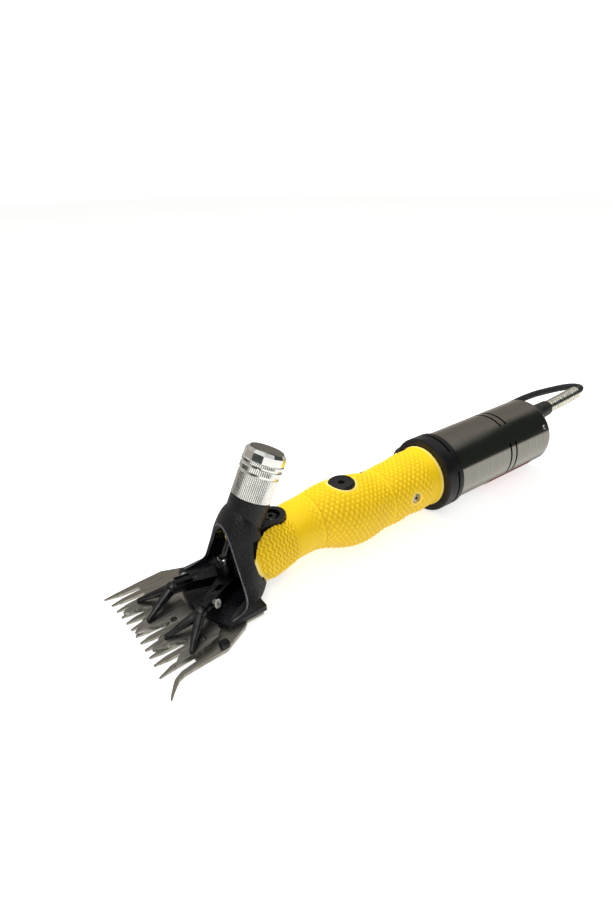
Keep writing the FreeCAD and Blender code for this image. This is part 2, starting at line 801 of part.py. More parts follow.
turned(
    "nut_cap",
    [
        ("0", "nut_length - 0.6"),
        ("nut_radius - 2.0", "nut_length - 0.6"),
        ("nut_radius - 2.2", "nut_length - 0.1"),
        ("nut_radius - 2.8", "nut_length"),
        ("0", "nut_length"),
    ],
    nut_frame,
    axis="V_Axis",
)

# ---- grip --------------------------------------------------------------------------------------------------
chamber_end = size("crank_reach + chamber_depth")
spigot_end = size("crank_reach + spigot_depth")
GRIP = [
    # along, centre above the handle's axis, radius
    (64.0, 0.2, 19.6),
    (78.0, 0.4, 19.6),
    (90.0, 0.9, 18.6),
    (103.0, 2.0, 17.3),
    (112.0, 2.9, 17.4),
    (119.0, 2.8, 18.0),
    (127.0, 1.9, 20.0),
    (135.0, 0.5, 21.8),
    (144.0, -0.9, 22.8),
    (152.0, -1.7, 22.6),
    (160.0, -2.1, 21.6),
    (168.0, -2.5, 20.0),
    (175.0, -2.6, 19.9),
    (185.0, -1.8, 20.3),
    (197.0, -0.8, 20.6),
    (208.0, -0.2, 20.9),
]
grip_wires = []
for along, lift, radius in GRIP:
    circle = Part.Circle(Vector(along, 0, lift), Vector(1, 0, 0), radius)
    grip_wires.append(Part.Wire([circle.toShape()]))
grip_rim = size("collar_front")
for along in (grip_rim, size("grip_end")):
    circle = Part.Circle(Vector(along, 0, 0), Vector(1, 0, 0), size("grip_end_radius"))
    grip_wires.append(Part.Wire([circle.toShape()]))
grip = Part.makeLoft(grip_wires, True, False)
grip = grip.cut(
    Part.makeCylinder(size("spigot_radius"), spigot_end - 50, Vector(50, 0, 0), Vector(1, 0, 0))
)
grip = grip.cut(Part.makeCylinder(size("tube_radius"), 200, Vector(60, 0, 0), Vector(1, 0, 0)))

# The front edge: a lobe each side of the head, open on top for the ear.
front_profile = [
    (40, 60), (71, 60), (69.5, 22), (67.6, 13), (67.2, 6), (68.2, -1), (72.5, -9.5),
    (79, -16), (85, -24), (40, -24),
]
edge_points = [Vector(x, -60, z) for x, z in front_profile]
ahead_of_lobes = Part.Face(Part.makePolygon(edge_points + [edge_points[0]])).extrude(
    Vector(0, 120, 0)
)
grip = grip.cut(ahead_of_lobes)
ear_gap = size("ear_half_width") + 0.15
above_ear = [(40, 26), (66.5, 20), (69, 16), (74, 11.8), (81, 9.6), (size("ear_end") - 4, ear_gap)]
below_ear = [(40, 26), (69, 20), (73, 16.9), (77, 12.8), (82, 10.2), (size("ear_end") - 3, ear_gap)]
for side_profile, start in ((above_ear, 6), (below_ear, -46)):
    edge = [Vector(x, y, start) for x, y in side_profile + [(size("ear_end"), ear_gap)]]
    edge += [Vector(point.x, -point.y, start) for point in edge[::-1]]
    opening = Part.Face(Part.makePolygon(edge + [edge[0]])).extrude(Vector(0, 0, 40))
    opening = opening.fuse(Part.makeCylinder(ear_gap, 40, Vector(size("ear_end"), 0, start)))
    grip = grip.cut(opening)

# Recesses for the top plug and the side screw.
grip = grip.cut(
    Part.makeCylinder(size("plug_radius"), 20, Vector(size("plug_place"), 0, size("plug_seat")))
)
screw_seat = Vector(size("grip_screw_place"), -size("tube_radius"), 0)
grip = grip.cut(Part.makeCylinder(size("grip_screw_radius"), 20, screw_seat, Vector(0, -1, 0)))
grip.Placement = handle_frame
feature_of("grip", grip)

# ---- head casting ----------------------------------------------------------------------------------------
def hood_section(x, profile, inset):
    """One closed section of the hood across X, drawn in by inset: half widths and heights, from below."""
    low = profile[0][1]
    high = profile[-1][1]
    right = []
    for half_width, height in profile:
        share = (height - low) / (high - low)
        drawn_in = inset if half_width > 0 else 0.0
        right.append((half_width - drawn_in, height + inset * (1 - 2 * share)))
    points = [Vector(x, y, z) for y, z in right]
    points += [Vector(x, -y, z) for y, z in right[-2:0:-1]]
    curve = Part.BSplineCurve()
    curve.interpolate(Points=points, PeriodicFlag=True)
    return Part.Wire([curve.toShape()])


# The hood's sections from its open front to where it joins the handle.
HOOD = [
    (
        "hood_front",
        [
            (0, 4.6), (12, 4.6), (22, 5.2), (26.4, 8.6), (24.6, 14), (21.9, 19.5),
            (19.3, 25), (14, 35), (10.2, 43.5), (5.8, 49), (0, 51),
        ],
    ),
    (
        "hood_front + 5",
        [
            (0, 4.9), (12, 4.9), (22, 5.5), (26, 9), (24.2, 14.5), (21.8, 20.5),
            (19.6, 26.5), (15.4, 38), (12, 48), (7, 55.4), (0, 57.6),
        ],
    ),
    (
        "hood_back - 7",
        [
            (0, 5.6), (10, 5.7), (18.5, 6.6), (22.6, 10), (21.4, 15.5), (20, 21),
            (18.6, 27), (16, 39), (13, 50), (7.6, 57.8), (0, 60.4),
        ],
    ),
    (
        "hood_back",
        [
            (0, 8.4), (7, 8.5), (13, 9.4), (16.6, 12.4), (16.8, 17), (16.4, 22),
            (16, 27), (15, 35.5), (12.6, 44), (7.4, 50.6), (0, 53),
        ],
    ),
]


def hood(inset, reach=0.0):
    wires = [hood_section(size(x), profile, inset) for x, profile in HOOD]
    if reach:
        ahead = wires[0].copy()
        ahead.translate(Vector(-reach, 0, 0))
        wires.insert(0, ahead)
    return Part.makeLoft(wires, True, False)


hood_outer = hood(0.0)
hood_inner = hood(size("wall"), reach=6.0)
inner_stop = Part.makeBox(60, 90, 90, Vector(size("hood_back") - 5.5, -45, -5))
hood_inner = hood_inner.cut(inner_stop)

# The bed that the comb is screwed under. Its front is an arc that keeps clear of the cutter's swing.
front_depth = size("bed_front - bed_front_middle")
front_radius = (front_depth ** 2 + size("bed_half_width") ** 2) / (2 * front_depth)
bed = Part.makeBox(
    size("bed_back - bed_front_middle"),
    2 * size("bed_half_width"),
    size("bed_thickness"),
    Vector(size("bed_front_middle"), -size("bed_half_width"), 0),
)
bed = bed.common(
    Part.makeCylinder(
        front_radius,
        size("bed_thickness"),
        Vector(size("bed_front_middle") + front_radius, 0, 0),
    )
)
front_corners = [
    e for e in bed.Edges
    if e.BoundBox.XLength < 1e-6 and e.BoundBox.YLength < 1e-6 and e.BoundBox.XMin < size("bed_front") + 1
]
bed = bed.makeFillet(2.5, front_corners)
bed.Placement = comb_frame

# A low shoulder along each side of the bed, which rises into the hood's front edge.
shoulder_outer = size("bed_half_width") - 0.6
SHOULDER = [
    (size("bed_front") + 1, [(27, 5), (shoulder_outer, 5), (shoulder_outer, 7.8), (28.4, 8.0), (27, 7.8)]),
    (
        size("hood_front") + 0.5,
        [(23, 5), (shoulder_outer, 5), (shoulder_outer, 8.9), (26.6, 10.6), (23.6, 15.0)],
    ),
    (size("bed_back"), [(20, 5), (shoulder_outer, 5), (shoulder_outer, 9.3), (26, 9.6), (21, 11)]),
]
shoulders = []
for side in (1, -1):
    wires = []
    for x, outline in SHOULDER:
        corners = [Vector(x, side * y, z) for y, z in outline]
        wires.append(Part.makePolygon(corners + [corners[0]]))
    shoulders.append(Part.makeLoft(wires, True, True))

# The round spigot that carries the grip's front, and the crank chamber inside it.
spigot_start = size("hood_back") - 12
spigot = Part.makeCylinder(
    size("spigot_radius"), spigot_end - spigot_start, Vector(spigot_start, 0, 0), Vector(1, 0, 0)
)
spigot_tail = Part.makeCylinder(
    size("tube_bore_radius") - 0.02,
    size("spigot_tail"),
    Vector(spigot_end, 0, 0),
    Vector(1, 0, 0),
)
spigot = spigot.fuse(spigot_tail)
spigot.Placement = handle_frame

# An ear above and one below, with rounded ends, that the grip fits round.
ear_width = size("ear_half_width")
ear_start = 70.0
ear_root = size("tube_radius") + 0.2
ears = []
for bottom in (ear_root, -size("ear_height")):
    depth = size("ear_height") - ear_root
    block = Part.makeBox(
        size("ear_end") - ear_start, 2 * ear_width, depth, Vector(ear_start, -ear_width, bottom)
    )
    tip = Part.makeCylinder(ear_width, depth, Vector(size("ear_end"), 0, bottom))
    ear = block.fuse(tip).removeSplitter()
    ear.Placement = handle_frame
    ears.append(ear)

neck = Part.makeCylinder(
    size("neck_radius"), size("neck_depth") + 4, Vector(0, 0, -size("neck_depth") - 4)
)
thread = Part.makeCylinder(size("thread_radius"), size("thread_length"), Vector(0, 0, 0))
thread = thread.makeChamfer(
    0.6, [e for e in thread.Edges if abs(e.BoundBox.ZMin - size("thread_length")) < 1e-6]
)
neck = neck.fuse(thread)
neck.Placement = nut_frame

casting = hood_outer
for piece in [bed, spigot, neck] + ears + shoulders:
    casting = casting.fuse(piece)

# Everything under the comb's plane and inside the head is cut away.
under_bed = Part.makeBox(120, 120, 30, Vector(-10, -60, -30))
under_bed.Placement = comb_frame
casting = casting.cut(under_bed)
casting = casting.cut(hood_inner)
chamber = Part.makeCylinder(
    size("chamber_radius"),
    chamber_end - size("hood_front"),
    Vector(size("hood_front"), 0, 0),
    Vector(1, 0, 0),
)
chamber.Placement = handle_frame
casting = casting.cut(chamber)
bearing_seat = Part.makeCylinder(
    size("bearing_radius"),
    spigot_end + size("spigot_tail") - chamber_end + 2,
    Vector(chamber_end - 1, 0, 0),
    Vector(1, 0, 0),
)
bearing_seat.Placement = handle_frame
casting = casting.cut(bearing_seat)
sleeve_bore = Part.makeCylinder(
    size("sleeve_radius") + size("running_clearance"),
    size("thread_length") + size("neck_depth") + 10,
    Vector(0, 0, -size("neck_depth") - 8),
)
sleeve_bore.Placement = nut_frame
casting = casting.cut(sleeve_bore)
for side in (1, -1):
    hole = Part.makeCylinder(
        size("comb_screw_radius"),
        size("bed_thickness") + 1,
        Vector(size("comb_screw_reach"), side * size("comb_screw_spacing") / 2, -1),
    )
    hole.Placement = comb_frame
    casting = casting.cut(hole)
ear_floor = size("ear_height") - size("ear_recess_depth")
ear_recess = Part.makeCylinder(
    size("ear_screw_radius") + 1.6, 6, Vector(size("ear_end") - 1, 0, ear_floor)
)
ear_hole = Part.makeCylinder(1.5, 4.0, Vector(size("ear_end") - 1, 0, ear_floor - 4.0))
ear_recess = ear_recess.fuse(ear_hole)
ear_recess.Placement = handle_frame
casting = casting.cut(ear_recess)

# A pad inside for the centre post, standing on the floor of the head.
post_pad = Part.makeCylinder(size("post_radius") + 2.2, 12, Vector(pivot, 0, -6))
post_pad.Placement = comb_frame
post_pad = post_pad.common(hood_outer.fuse(spigot))
pad_limit = Part.makeBox(60, 60, 20, Vector(pivot - 30, -30, size("bed_thickness") + 1.2))
pad_limit.Placement = comb_frame
post_pad = post_pad.cut(pad_limit)
casting = casting.fuse(post_pad)
post_hole = Part.makeCylinder(size("post_neck_radius"), 20, Vector(pivot, 0, -12))
post_hole.Placement = comb_frame
casting = casting.cut(post_hole)
casting = casting.cut(grip)

# Room outside the grip's lobes, so that the head stays inside them.
room_radius = 30.0
room_length = 40.0
room_floor = -13.0
room_top = 18.0
room_start = Vector(60, 0, 0)
corridor_half_width = 9.5
corridor_floor = 12.0
lobe_room = Part.makeCylinder(room_radius, room_length, room_start, Vector(1, 0, 0))
lobe_room = lobe_room.cut(
    Part.makeCylinder(size("spigot_radius"), room_length, room_start, Vector(1, 0, 0))
)
between = Part.makeBox(
    room_length,
    2 * room_radius,
    room_top - room_floor,
    room_start + Vector(0, -room_radius, room_floor),
)
lobe_room = lobe_room.common(between)
corridor = Part.makeBox(
    room_length,
    2 * corridor_half_width,
    20,
    room_start + Vector(0, -corridor_half_width, corridor_floor),
)
lobe_room = lobe_room.cut(corridor)
lobe_room = lobe_room.cut(ahead_of_lobes)
lobe_room.Placement = handle_frame
casting = casting.cut(lobe_room)
feature_of("head_casting", casting)

# ---- centre post -----------------------------------------------------------------------------------------
turned(
    "centre_post",
    [
        ("0", "-1 * comb_thickness + 2.4"),
        ("post_neck_radius", "-1 * comb_thickness + 2.4"),
        ("post_neck_radius", "bed_thickness + 1.2"),
        ("post_radius", "bed_thickness + 1.2"),
        ("post_radius", "fork_floor - 0.3"),
        ("post_neck_radius", "fork_floor - 0.3"),
        ("post_neck_radius", "fork_floor + fork_thickness - 2.2"),
        ("post_neck_radius - 0.6", "fork_floor + fork_thickness - 1.8"),
        ("0", "fork_floor + fork_thickness - 1.8"),
    ],
    comb_frame.multiply(Placement(Vector(pivot, 0, 0), Rotation())),
    axis="V_Axis",
)

# ---- ear screw ---------------------------------------------------------------------------------------------
turned(
    "ear_screw",
    [
        ("0", "ear_height - ear_recess_depth - 3.4"),
        ("1.5", "ear_height - ear_recess_depth - 3.4"),
        ("1.5", "ear_height - ear_recess_depth"),
        ("ear_screw_radius", "ear_height - ear_recess_depth"),
        ("ear_screw_radius", "ear_height - ear_recess_depth + 1.2"),
        ("ear_screw_radius - 0.8", "ear_height - ear_recess_depth + 2"),
        ("1.6", "ear_height - ear_recess_depth + 2"),
        ("1.6", "ear_height - ear_recess_depth + 0.8"),
        ("0", "ear_height - ear_recess_depth + 0.8"),
    ],
    handle_frame.multiply(Placement(Vector(size("ear_end") - 1, 0, 0), Rotation())),
    axis="V_Axis",
)

# ---- crankshaft, roller and bearings ---------------------------------------------------------------------
web_start = size("crank_reach") + half_roller + 1.7
shaft = Part.makeCylinder(
    size("shaft_radius"),
    size("coupling_start") + 6 - web_start,
    Vector(web_start, 0, 0),
    Vector(1, 0, 0),
)
web = Part.makeCylinder(
    size("bearing_radius") - 2.2,
    chamber_end - 0.6 - web_start,
    Vector(web_start, 0, 0),
    Vector(1, 0, 0),
)
crank_pin = Part.makeCylinder(
    size("crank_pin_radius"),
    size("roller_length") + 2.2,
    Vector(size("crank_reach") - half_roller - 0.4, crank_throw, 0),
    Vector(1, 0, 0),
)
feature_of("crankshaft", shaft.fuse(web).fuse(crank_pin).removeSplitter(), handle_frame)

turned(
    "crank_roller",
    [
        ("crank_reach - roller_length / 2", "crank_pin_radius"),
        ("crank_reach + roller_length / 2", "crank_pin_radius"),
        ("crank_reach + roller_length / 2", "roller_radius - 0.3"),
        ("crank_reach + roller_length / 2 - 0.3", "roller_radius"),
        ("crank_reach - roller_length / 2 + 0.3", "roller_radius"),
        ("crank_reach - roller_length / 2", "roller_radius - 0.3"),
    ],
    handle_frame.multiply(Placement(Vector(0, crank_throw, 0), Rotation())),
)


def bearing(label, start, width, bore, outer):
    return turned(
        label,
        [
            (start, bore),
            (start + " + " + width, bore),
            (start + " + " + width, outer + " - 0.3"),
            (start + " + " + width + " - 0.3", outer),
            (start + " + 0.3", outer),
            (start, outer + " - 0.3"),
        ],
        handle_frame,
    )


shaft_bore = "shaft_radius + running_clearance"
bearing("front_bearing", "crank_reach + chamber_depth + 0.6", "bearing_width", shaft_bore, "bearing_radius")
bearing("rear_bearing", "rear_bearing_place", "bearing_width", shaft_bore, "tube_bore_radius")

turned(
    "barrel_tube",
    [
        ("crank_reach + spigot_depth", "tube_bore_radius"),
        ("case_start", "tube_bore_radius"),
        ("case_start", "tube_radius"),
        ("crank_reach + spigot_depth", "tube_radius"),
    ],
    handle_frame,
)

turned(
    "shaft_coupling",
    [
        ("coupling_start", "shaft_radius"),
        ("coupling_start + 6", "shaft_radius"),
        ("coupling_start + 6", "motor_shaft_radius"),
        ("coupling_start + 14", "motor_shaft_radius"),
        ("coupling_start + 14", "coupling_radius - 0.6"),
        ("coupling_start + 13.4", "coupling_radius"),
        ("coupling_start + 0.6", "coupling_radius"),
        ("coupling_start", "coupling_radius - 0.6"),
    ],
    handle_frame,
)

# ---- plug and screw in the grip ----------------------------------------------------------------------------
turned(
    "grip_plug",
    [
        ("0", "plug_seat"),
        ("plug_radius", "plug_seat"),
        ("plug_radius", "plug_top - 0.8"),
        ("plug_radius - 0.8", "plug_top"),
        ("plug_radius - 2.6", "plug_top - 0.3"),
        ("2.2", "plug_top - 0.6"),
        ("1.9", "plug_top - 2.6"),
        ("0", "plug_top - 2.6"),
    ],
    handle_frame.multiply(Placement(Vector(size("plug_place"), 0, 0), Rotation())),
    axis="V_Axis",
)
turned(
    "grip_screw",
    [
        ("0", "tube_radius"),
        ("grip_screw_radius", "tube_radius"),
        ("grip_screw_radius", "grip_screw_top - 0.4"),
        ("grip_screw_radius - 0.4", "grip_screw_top"),
        ("1.2", "grip_screw_top"),
        ("1.0", "grip_screw_top - 1.6"),
        ("0", "grip_screw_top - 1.6"),
    ],
    handle_frame.multiply(
        Placement(Vector(size("grip_screw_place"), 0, 0), Rotation(Vector(1, 0, 0), 90))
    ),
    axis="V_Axis",
)

# ---- collar and motor --------------------------------------------------------------------------------------
collar = turned(
    "collar",
    [
        ("collar_front", "grip_end_radius + 0.1"),
        ("grip_end + 0.2", "grip_end_radius + 0.1"),
        ("grip_end + 0.2", "tube_radius"),
        ("case_start", "tube_radius"),
        ("case_start", "collar_radius - 0.8"),
        ("case_start - 0.8", "collar_radius"),
        ("collar_front + 1", "collar_radius"),
        ("collar_front", "collar_radius - 1"),
    ],
    handle_frame.multiply(Placement(Vector(), Rotation(Vector(1, 0, 0), size("collar_roll")))),
)
collar_vent = new_sketch(collar, "XZ_Plane")
draw_polygon(
    collar_vent,
    [
        ("collar_front + 9", "collar_radius - 1.4"),
        ("collar_front + 10.6", "collar_radius - 1.4"),
        ("collar_front + 10.6", "collar_radius + 1"),
        ("collar_front + 9", "collar_radius + 1"),
    ],
)
vent_cut = revolve(collar, collar_vent, "H_Axis", "Groove")
vent_cut.Midplane = True
vent_cut.Angle = size("vent_angle")
vent_cut.setExpression("Angle", bound("vent_angle"))
doc.recompute()
polar(collar, vent_cut, "X_Axis", 4)

turned(
    "motor_plate",
    [
        ("case_start", "bearing_radius"),
        ("case_start + plate_width", "bearing_radius"),
        ("case_start + plate_width", "case_radius - case_wall"),
        ("case_start", "case_radius - case_wall"),
    ],
    handle_frame,
)

case_inner = "case_radius - case_wall"
motor_case = turned(
    "motor_case",
    [
        ("case_start", case_inner),
        ("case_end - case_shoulder", case_inner),
        ("case_end - case_wall", case_inner + " - case_shoulder"),
        ("case_end - case_wall", "0"),
        ("case_end", "0"),
        ("case_end", "case_radius - case_shoulder"),
        ("case_end - 0.34 * case_shoulder", "case_radius - 0.5 * case_shoulder"),
        ("case_end - 0.62 * case_shoulder", "case_radius - 0.2 * case_shoulder"),
        ("case_end - case_shoulder", "case_radius"),
        ("case_start", "case_radius"),
    ],
    handle_frame,
)
for place in ("vent_place", "vent_place + vent_gap"):
    vent = new_sketch(motor_case, "XZ_Plane")
    draw_polygon(
        vent,
        [
            (place + " - vent_width / 2", "case_radius - 2 * case_wall"),
            (place + " + vent_width / 2", "case_radius - 2 * case_wall"),
            (place + " + vent_width / 2", "case_radius + 1"),
            (place + " - vent_width / 2", "case_radius + 1"),
        ],
    )
    cut = revolve(motor_case, vent, "H_Axis", "Groove")
    cut.Midplane = True
    cut.Angle = size("vent_angle")
    cut.setExpression("Angle", bound("vent_angle"))
    doc.recompute()
    polar(motor_case, cut, "X_Axis", 4)
cord_hole = new_sketch(motor_case, "YZ_Plane", "case_end - 4 * case_wall")
draw_circle(cord_hole, "0", "exit_height", "gland_hole_radius")
pocket(motor_case, cord_hole, "8 * case_wall", reverse=True)

turned(
    "motor_stator",
    [
        ("stator_start", "stator_bore"),
        ("stator_end", "stator_bore"),
        ("stator_end", case_inner),
        ("stator_start", case_inner),
    ],
    handle_frame,
)
rotor_radius = "stator_bore - rotor_gap"
turned(
    "motor_rotor",
    [
        ("stator_start + 1", "motor_shaft_radius"),
        ("stator_end - 1", "motor_shaft_radius"),
        ("stator_end - 1", rotor_radius),
        ("stator_start + 1", rotor_radius),
    ],
    handle_frame,
)
turned(
    "motor_shaft",
    [
        ("coupling_start + 6.2", "0"),
        ("bell_start + plate_width + 3", "0"),
        ("bell_start + plate_width + 3", "motor_shaft_radius"),
        ("coupling_start + 6.2", "motor_shaft_radius"),
    ],
    handle_frame,
)
motor_bore = size("motor_shaft_radius") + size("running_clearance")
motor_rings = []
for start in (size("case_start"), size("bell_start")):
    ring = Part.makeCylinder(
        size("bearing_radius"), size("plate_width"), Vector(start, 0, 0), Vector(1, 0, 0)
    )
    ring = ring.cut(
        Part.makeCylinder(motor_bore, size("plate_width"), Vector(start, 0, 0), Vector(1, 0, 0))
    )
    motor_rings.append(ring)
feature_of("motor_bearings", Part.makeCompound(motor_rings), handle_frame)

fan = new_body("motor_fan")
fan_disc = new_sketch(fan, "YZ_Plane", "fan_start")
draw_circle(fan_disc, "0", "0", "fan_radius")
draw_circle(fan_disc, "0", "0", "motor_shaft_radius")
pad(fan, fan_disc, "1.5")
fan_hub = new_sketch(fan, "YZ_Plane", "fan_start")
draw_circle(fan_hub, "0", "0", "motor_shaft_radius + 3")
draw_circle(fan_hub, "0", "0", "motor_shaft_radius")
pad(fan, fan_hub, "fan_width")
blade_sketch = new_sketch(fan, "YZ_Plane", "fan_start")
draw_polygon(
    blade_sketch,
    [
        ("-0.6", "motor_shaft_radius + 2"),
        ("0.6", "motor_shaft_radius + 2"),
        ("0.6", "fan_radius - 0.4"),
        ("-0.6", "fan_radius - 0.4"),
    ],
)
blade = pad(fan, blade_sketch, "fan_width")
doc.recompute()
polar(fan, blade, "X_Axis", 9)
fan.Placement = handle_frame

bell = turned(
    "motor_end_bell",
    [
        ("bell_start", "bearing_radius"),
        ("bell_start + plate_width", "bearing_radius"),
        ("bell_start + plate_width", case_inner + " - 3"),
        ("bell_end", case_inner + " - 3"),
        ("bell_end", case_inner),
        ("bell_start", case_inner),
    ],
    handle_frame,
)
# Holes for the case screws through the case and into the end bell.
for body in (motor_case, bell):
    hole = new_sketch(body, "XY_Plane", "4.2 - case_radius")
    draw_circle(hole, "case_screw_place", "0", "case_screw_radius")
    cut = pocket(body, hole, "5")
    doc.recompute()
    polar(body, cut, "X_Axis", 3)

screws = []
for k in range(3):
    shank = Part.makeCylinder(
        size("case_screw_radius"), 3.6, Vector(size("case_screw_place"), 0, size("case_radius") - 3.6)
    )
    head = Part.makeCylinder(
        size("case_screw_head"), 0.9, Vector(size("case_screw_place"), 0, size("case_radius"))
    )
    head = head.makeChamfer(
        0.4, [e for e in head.Edges if abs(e.BoundBox.ZMin - size("case_radius") - 0.9) < 1e-6]
    )
    screw = head.fuse(shank).removeSplitter()
    screw.rotate(Vector(0, 0, 0), Vector(1, 0, 0), 60.0 + 120.0 * k)
    screws.append(screw)
feature_of("case_screws", Part.makeCompound(screws), handle_frame)


label = new_body("motor_label")
label_sketch = new_sketch(label, "XZ_Plane")
draw_polygon(
    label_sketch,
    [
        ("label_start", "-1 * case_radius - 0.03"),
        ("label_end", "-1 * case_radius - 0.03"),
        ("label_end", "-1 * case_radius - label_thickness"),
        ("label_start", "-1 * case_radius - label_thickness"),
    ],
)
label_turn = revolve(label, label_sketch, "H_Axis")
label_turn.Midplane = True
label_turn.Angle = 110.0
label.Placement = handle_frame

# ---- gland, strain relief and cord -----------------------------------------------------------------------
cord_radius = size("cord_diameter / 2")
gland = Part.makeCone(
    size("relief_radius") + 1.8,
    size("relief_radius") + 0.8,
    size("gland_length") - 6,
    Vector(6, 0, 0),
    Vector(1, 0, 0),
)
gland = gland.fuse(rod(Vector(-2, 0, 0), Vector(6, 0, 0), size("gland_radius")))
behind_case = Part.makeBox(40, 60, 60, Vector(size("case_end") - 40, -30, -30))
behind_case.Placement = exit_frame.inverse().multiply(handle_frame)
gland = gland.cut(behind_case)
gland = gland.fuse(rod(Vector(-5, 0, 0), Vector(3, 0, 0), size("gland_hole_radius") - 0.4))
gland = gland.cut(rod(Vector(-6, 0, 0), Vector(size("gland_length") + 1, 0, 0), cord_radius))
feature_of("gland", gland.removeSplitter(), exit_frame)

ridge_pitch = 2.5
ridge_count = int((size("relief_length") - size("gland_length")) / ridge_pitch)
relief_corners = [("gland_length", "cord_diameter / 2"), ("relief_length", "cord_diameter / 2")]
for k in range(ridge_count):
    end = "relief_length - %g" % (k * ridge_pitch)
    relief_corners.append((end, "relief_radius - 0.6"))
    relief_corners.append((end + " - 0.7", "relief_radius"))
    relief_corners.append((end + " - 1.6", "relief_radius"))
relief_corners.append(("gland_length", "relief_radius - 0.6"))
turned("strain_relief", relief_corners, exit_frame)

cord_start = size("relief_length")
feature_of(
    "cord_tail", rod(Vector(-14, 0, 0), Vector(cord_start, 0, 0), cord_radius), exit_frame
)


def cord_tube(label, route):
    """A round tube along straight runs joined by the largest tangent arcs that the runs allow."""
    edges = []
    here = route[0]
    for k in range(1, len(route) - 1):
        before = route[k] - route[k - 1]
        after = route[k + 1] - route[k]
        reach = 0.45 * min(before.Length, after.Length)
        half_turn = before.getAngle(after) / 2
        start = route[k] - before.normalize() * reach
        end = route[k] + after.normalize() * reach
        middle_way = (start + end) * 0.5 - route[k]
        radius = reach / math.tan(half_turn)
        to_centre = math.hypot(radius, reach)
        middle_way.normalize()
        top = route[k] + middle_way * (to_centre - radius)
        edges.append(Part.LineSegment(here, start).toShape())
        edges.append(Part.Arc(start, top, end).toShape())
        here = end
    edges.append(Part.LineSegment(here, route[-1]).toShape())
    path = Part.Wire(edges)
    direction = (route[1] - route[0]).normalize()
    section = Part.Wire([Part.Circle(route[0], direction, cord_radius).toShape()])
    tube = path.makePipeShell([section], True, True)
    return feature_of(label, tube)


cord_exit = exit_frame.multVec(Vector(cord_start, 0, 0))
hank_far = 59.8
strand = size("cord_diameter")
# From the strain relief the lead folds back, comes down behind the motor and joins the hank.
CORD_ROUTE = [
    cord_exit,
    exit_frame.multVec(Vector(cord_start + 10.5, 0, 0)),
    Vector(412.3, 9.5, 42.9),
    Vector(409.5, 17.8, 40.2),
    Vector(399.5, 24.8, 37.6),
    Vector(382.0, 32.5, 34.6),
    Vector(360.0, 42.0, 25.5),
    Vector(341.0, 51.0, 14.5),
    Vector(325.0, 57.6, 9.0),
]
cord_tube("cord", CORD_ROUTE)

hank_middle = Vector(297.0, hank_far - size("hank_fold_radius"), 0)
half_straight = size("hank_length / 2 - hank_fold_radius")
hank_outer_radius = size("hank_fold_radius") + strand
hank_inner_radius = size("hank_fold_radius") - strand


def racetrack(radius, height):
    block = Part.makeBox(
        2 * half_straight, 2 * radius, height, Vector(-half_straight, -radius, 0)
    )
    for end in (-half_straight, half_straight):
        block = block.fuse(Part.makeCylinder(radius, height, Vector(end, 0, 0)))
    return block.removeSplitter()


hank = racetrack(hank_outer_radius, 2 * strand).cut(racetrack(hank_inner_radius, 2 * strand))
rim = [
    e
    for e in hank.Edges
    if abs(e.BoundBox.ZMin - e.BoundBox.ZMax) < 1e-6
]
hank = hank.makeFillet(0.45 * strand, rim)
hank.Placement = Placement(hank_middle, Rotation())
feature_of("cord_hank", hank)

# A strap tie round both runs of the hank, near its front end.
tie_width = 7.0
tie_thickness = 0.8
tie_place = hank_middle - Vector(half_straight - 12, 0, 0)
tie_outer = Part.makeBox(
    tie_width, 2 * (hank_outer_radius + tie_thickness), 2 * strand + tie_thickness,
    tie_place + Vector(0, -hank_outer_radius - tie_thickness, 0),
)
tie_edges = [
    e
    for e in tie_outer.Edges
    if e.BoundBox.XLength > tie_width - 0.1 and e.BoundBox.ZMin > strand
]
tie_outer = tie_outer.makeFillet(0.4 * strand, tie_edges)
tie_inner = Part.makeBox(
    tie_width + 2, 2 * hank_outer_radius, 2 * strand, tie_place + Vector(-1, -hank_outer_radius, 0)
)
tie_strap = tie_outer.cut(tie_inner)
feature_of("cord_tie", tie_strap)

# The lead's round connector lies in line with the hank, behind the grip.
connector_axis = Vector(232.0, 40.0, size("ring_radius"))
CORD_END_ROUTE = [
    Vector(245.8, 48.9, 7.2),
    Vector(242.9, 43.6, 8.0),
    Vector(238.0, 40.0, size("ring_radius")),
    connector_axis,
]
connector_frame = Placement(connector_axis, Rotation(Vector(0, 0, 1), 180))
cord_tube("cord_end", CORD_END_ROUTE)
turned(
    "connector_body",
    [
        ("0", "0"),
        ("0", "cord_diameter / 2 + 1"),
        ("8", "cord_diameter / 2 + 2.4"),
        ("12", "connector_radius - 0.8"),
        ("13", "connector_radius"),
        ("connector_length", "connector_radius"),
        ("connector_length", "connector_radius - 1.6"),
        ("connector_length + ring_length - 2", "connector_radius - 1.6"),
        ("connector_length + ring_length - 2", "connector_radius - 2.6"),
        ("connector_length + 3", "connector_radius - 2.6"),
        ("connector_length + 3", "0"),
    ],
    connector_frame,
)
turned(
    "connector_ring",
    [
        ("connector_length + 0.2", "connector_radius - 1.5"),
        ("connector_length + ring_length", "connector_radius - 1.5"),
        ("connector_length + ring_length", "ring_radius - 0.6"),
        ("connector_length + ring_length - 0.6", "ring_radius"),
        ("connector_length + 0.8", "ring_radius"),
        ("connector_length + 0.2", "ring_radius - 0.6"),
    ],
    connector_frame,
)
pins = []
for k in range(3):
    angle = math.radians(90 + 120 * k)
    place = Vector(size("connector_length") + 3, 2.8 * math.cos(angle), 2.8 * math.sin(angle))
    pins.append(Part.makeCylinder(0.8, 7.0, place, Vector(1, 0, 0)))
feature_of("connector_pins", Part.makeCompound(pins), connector_frame)

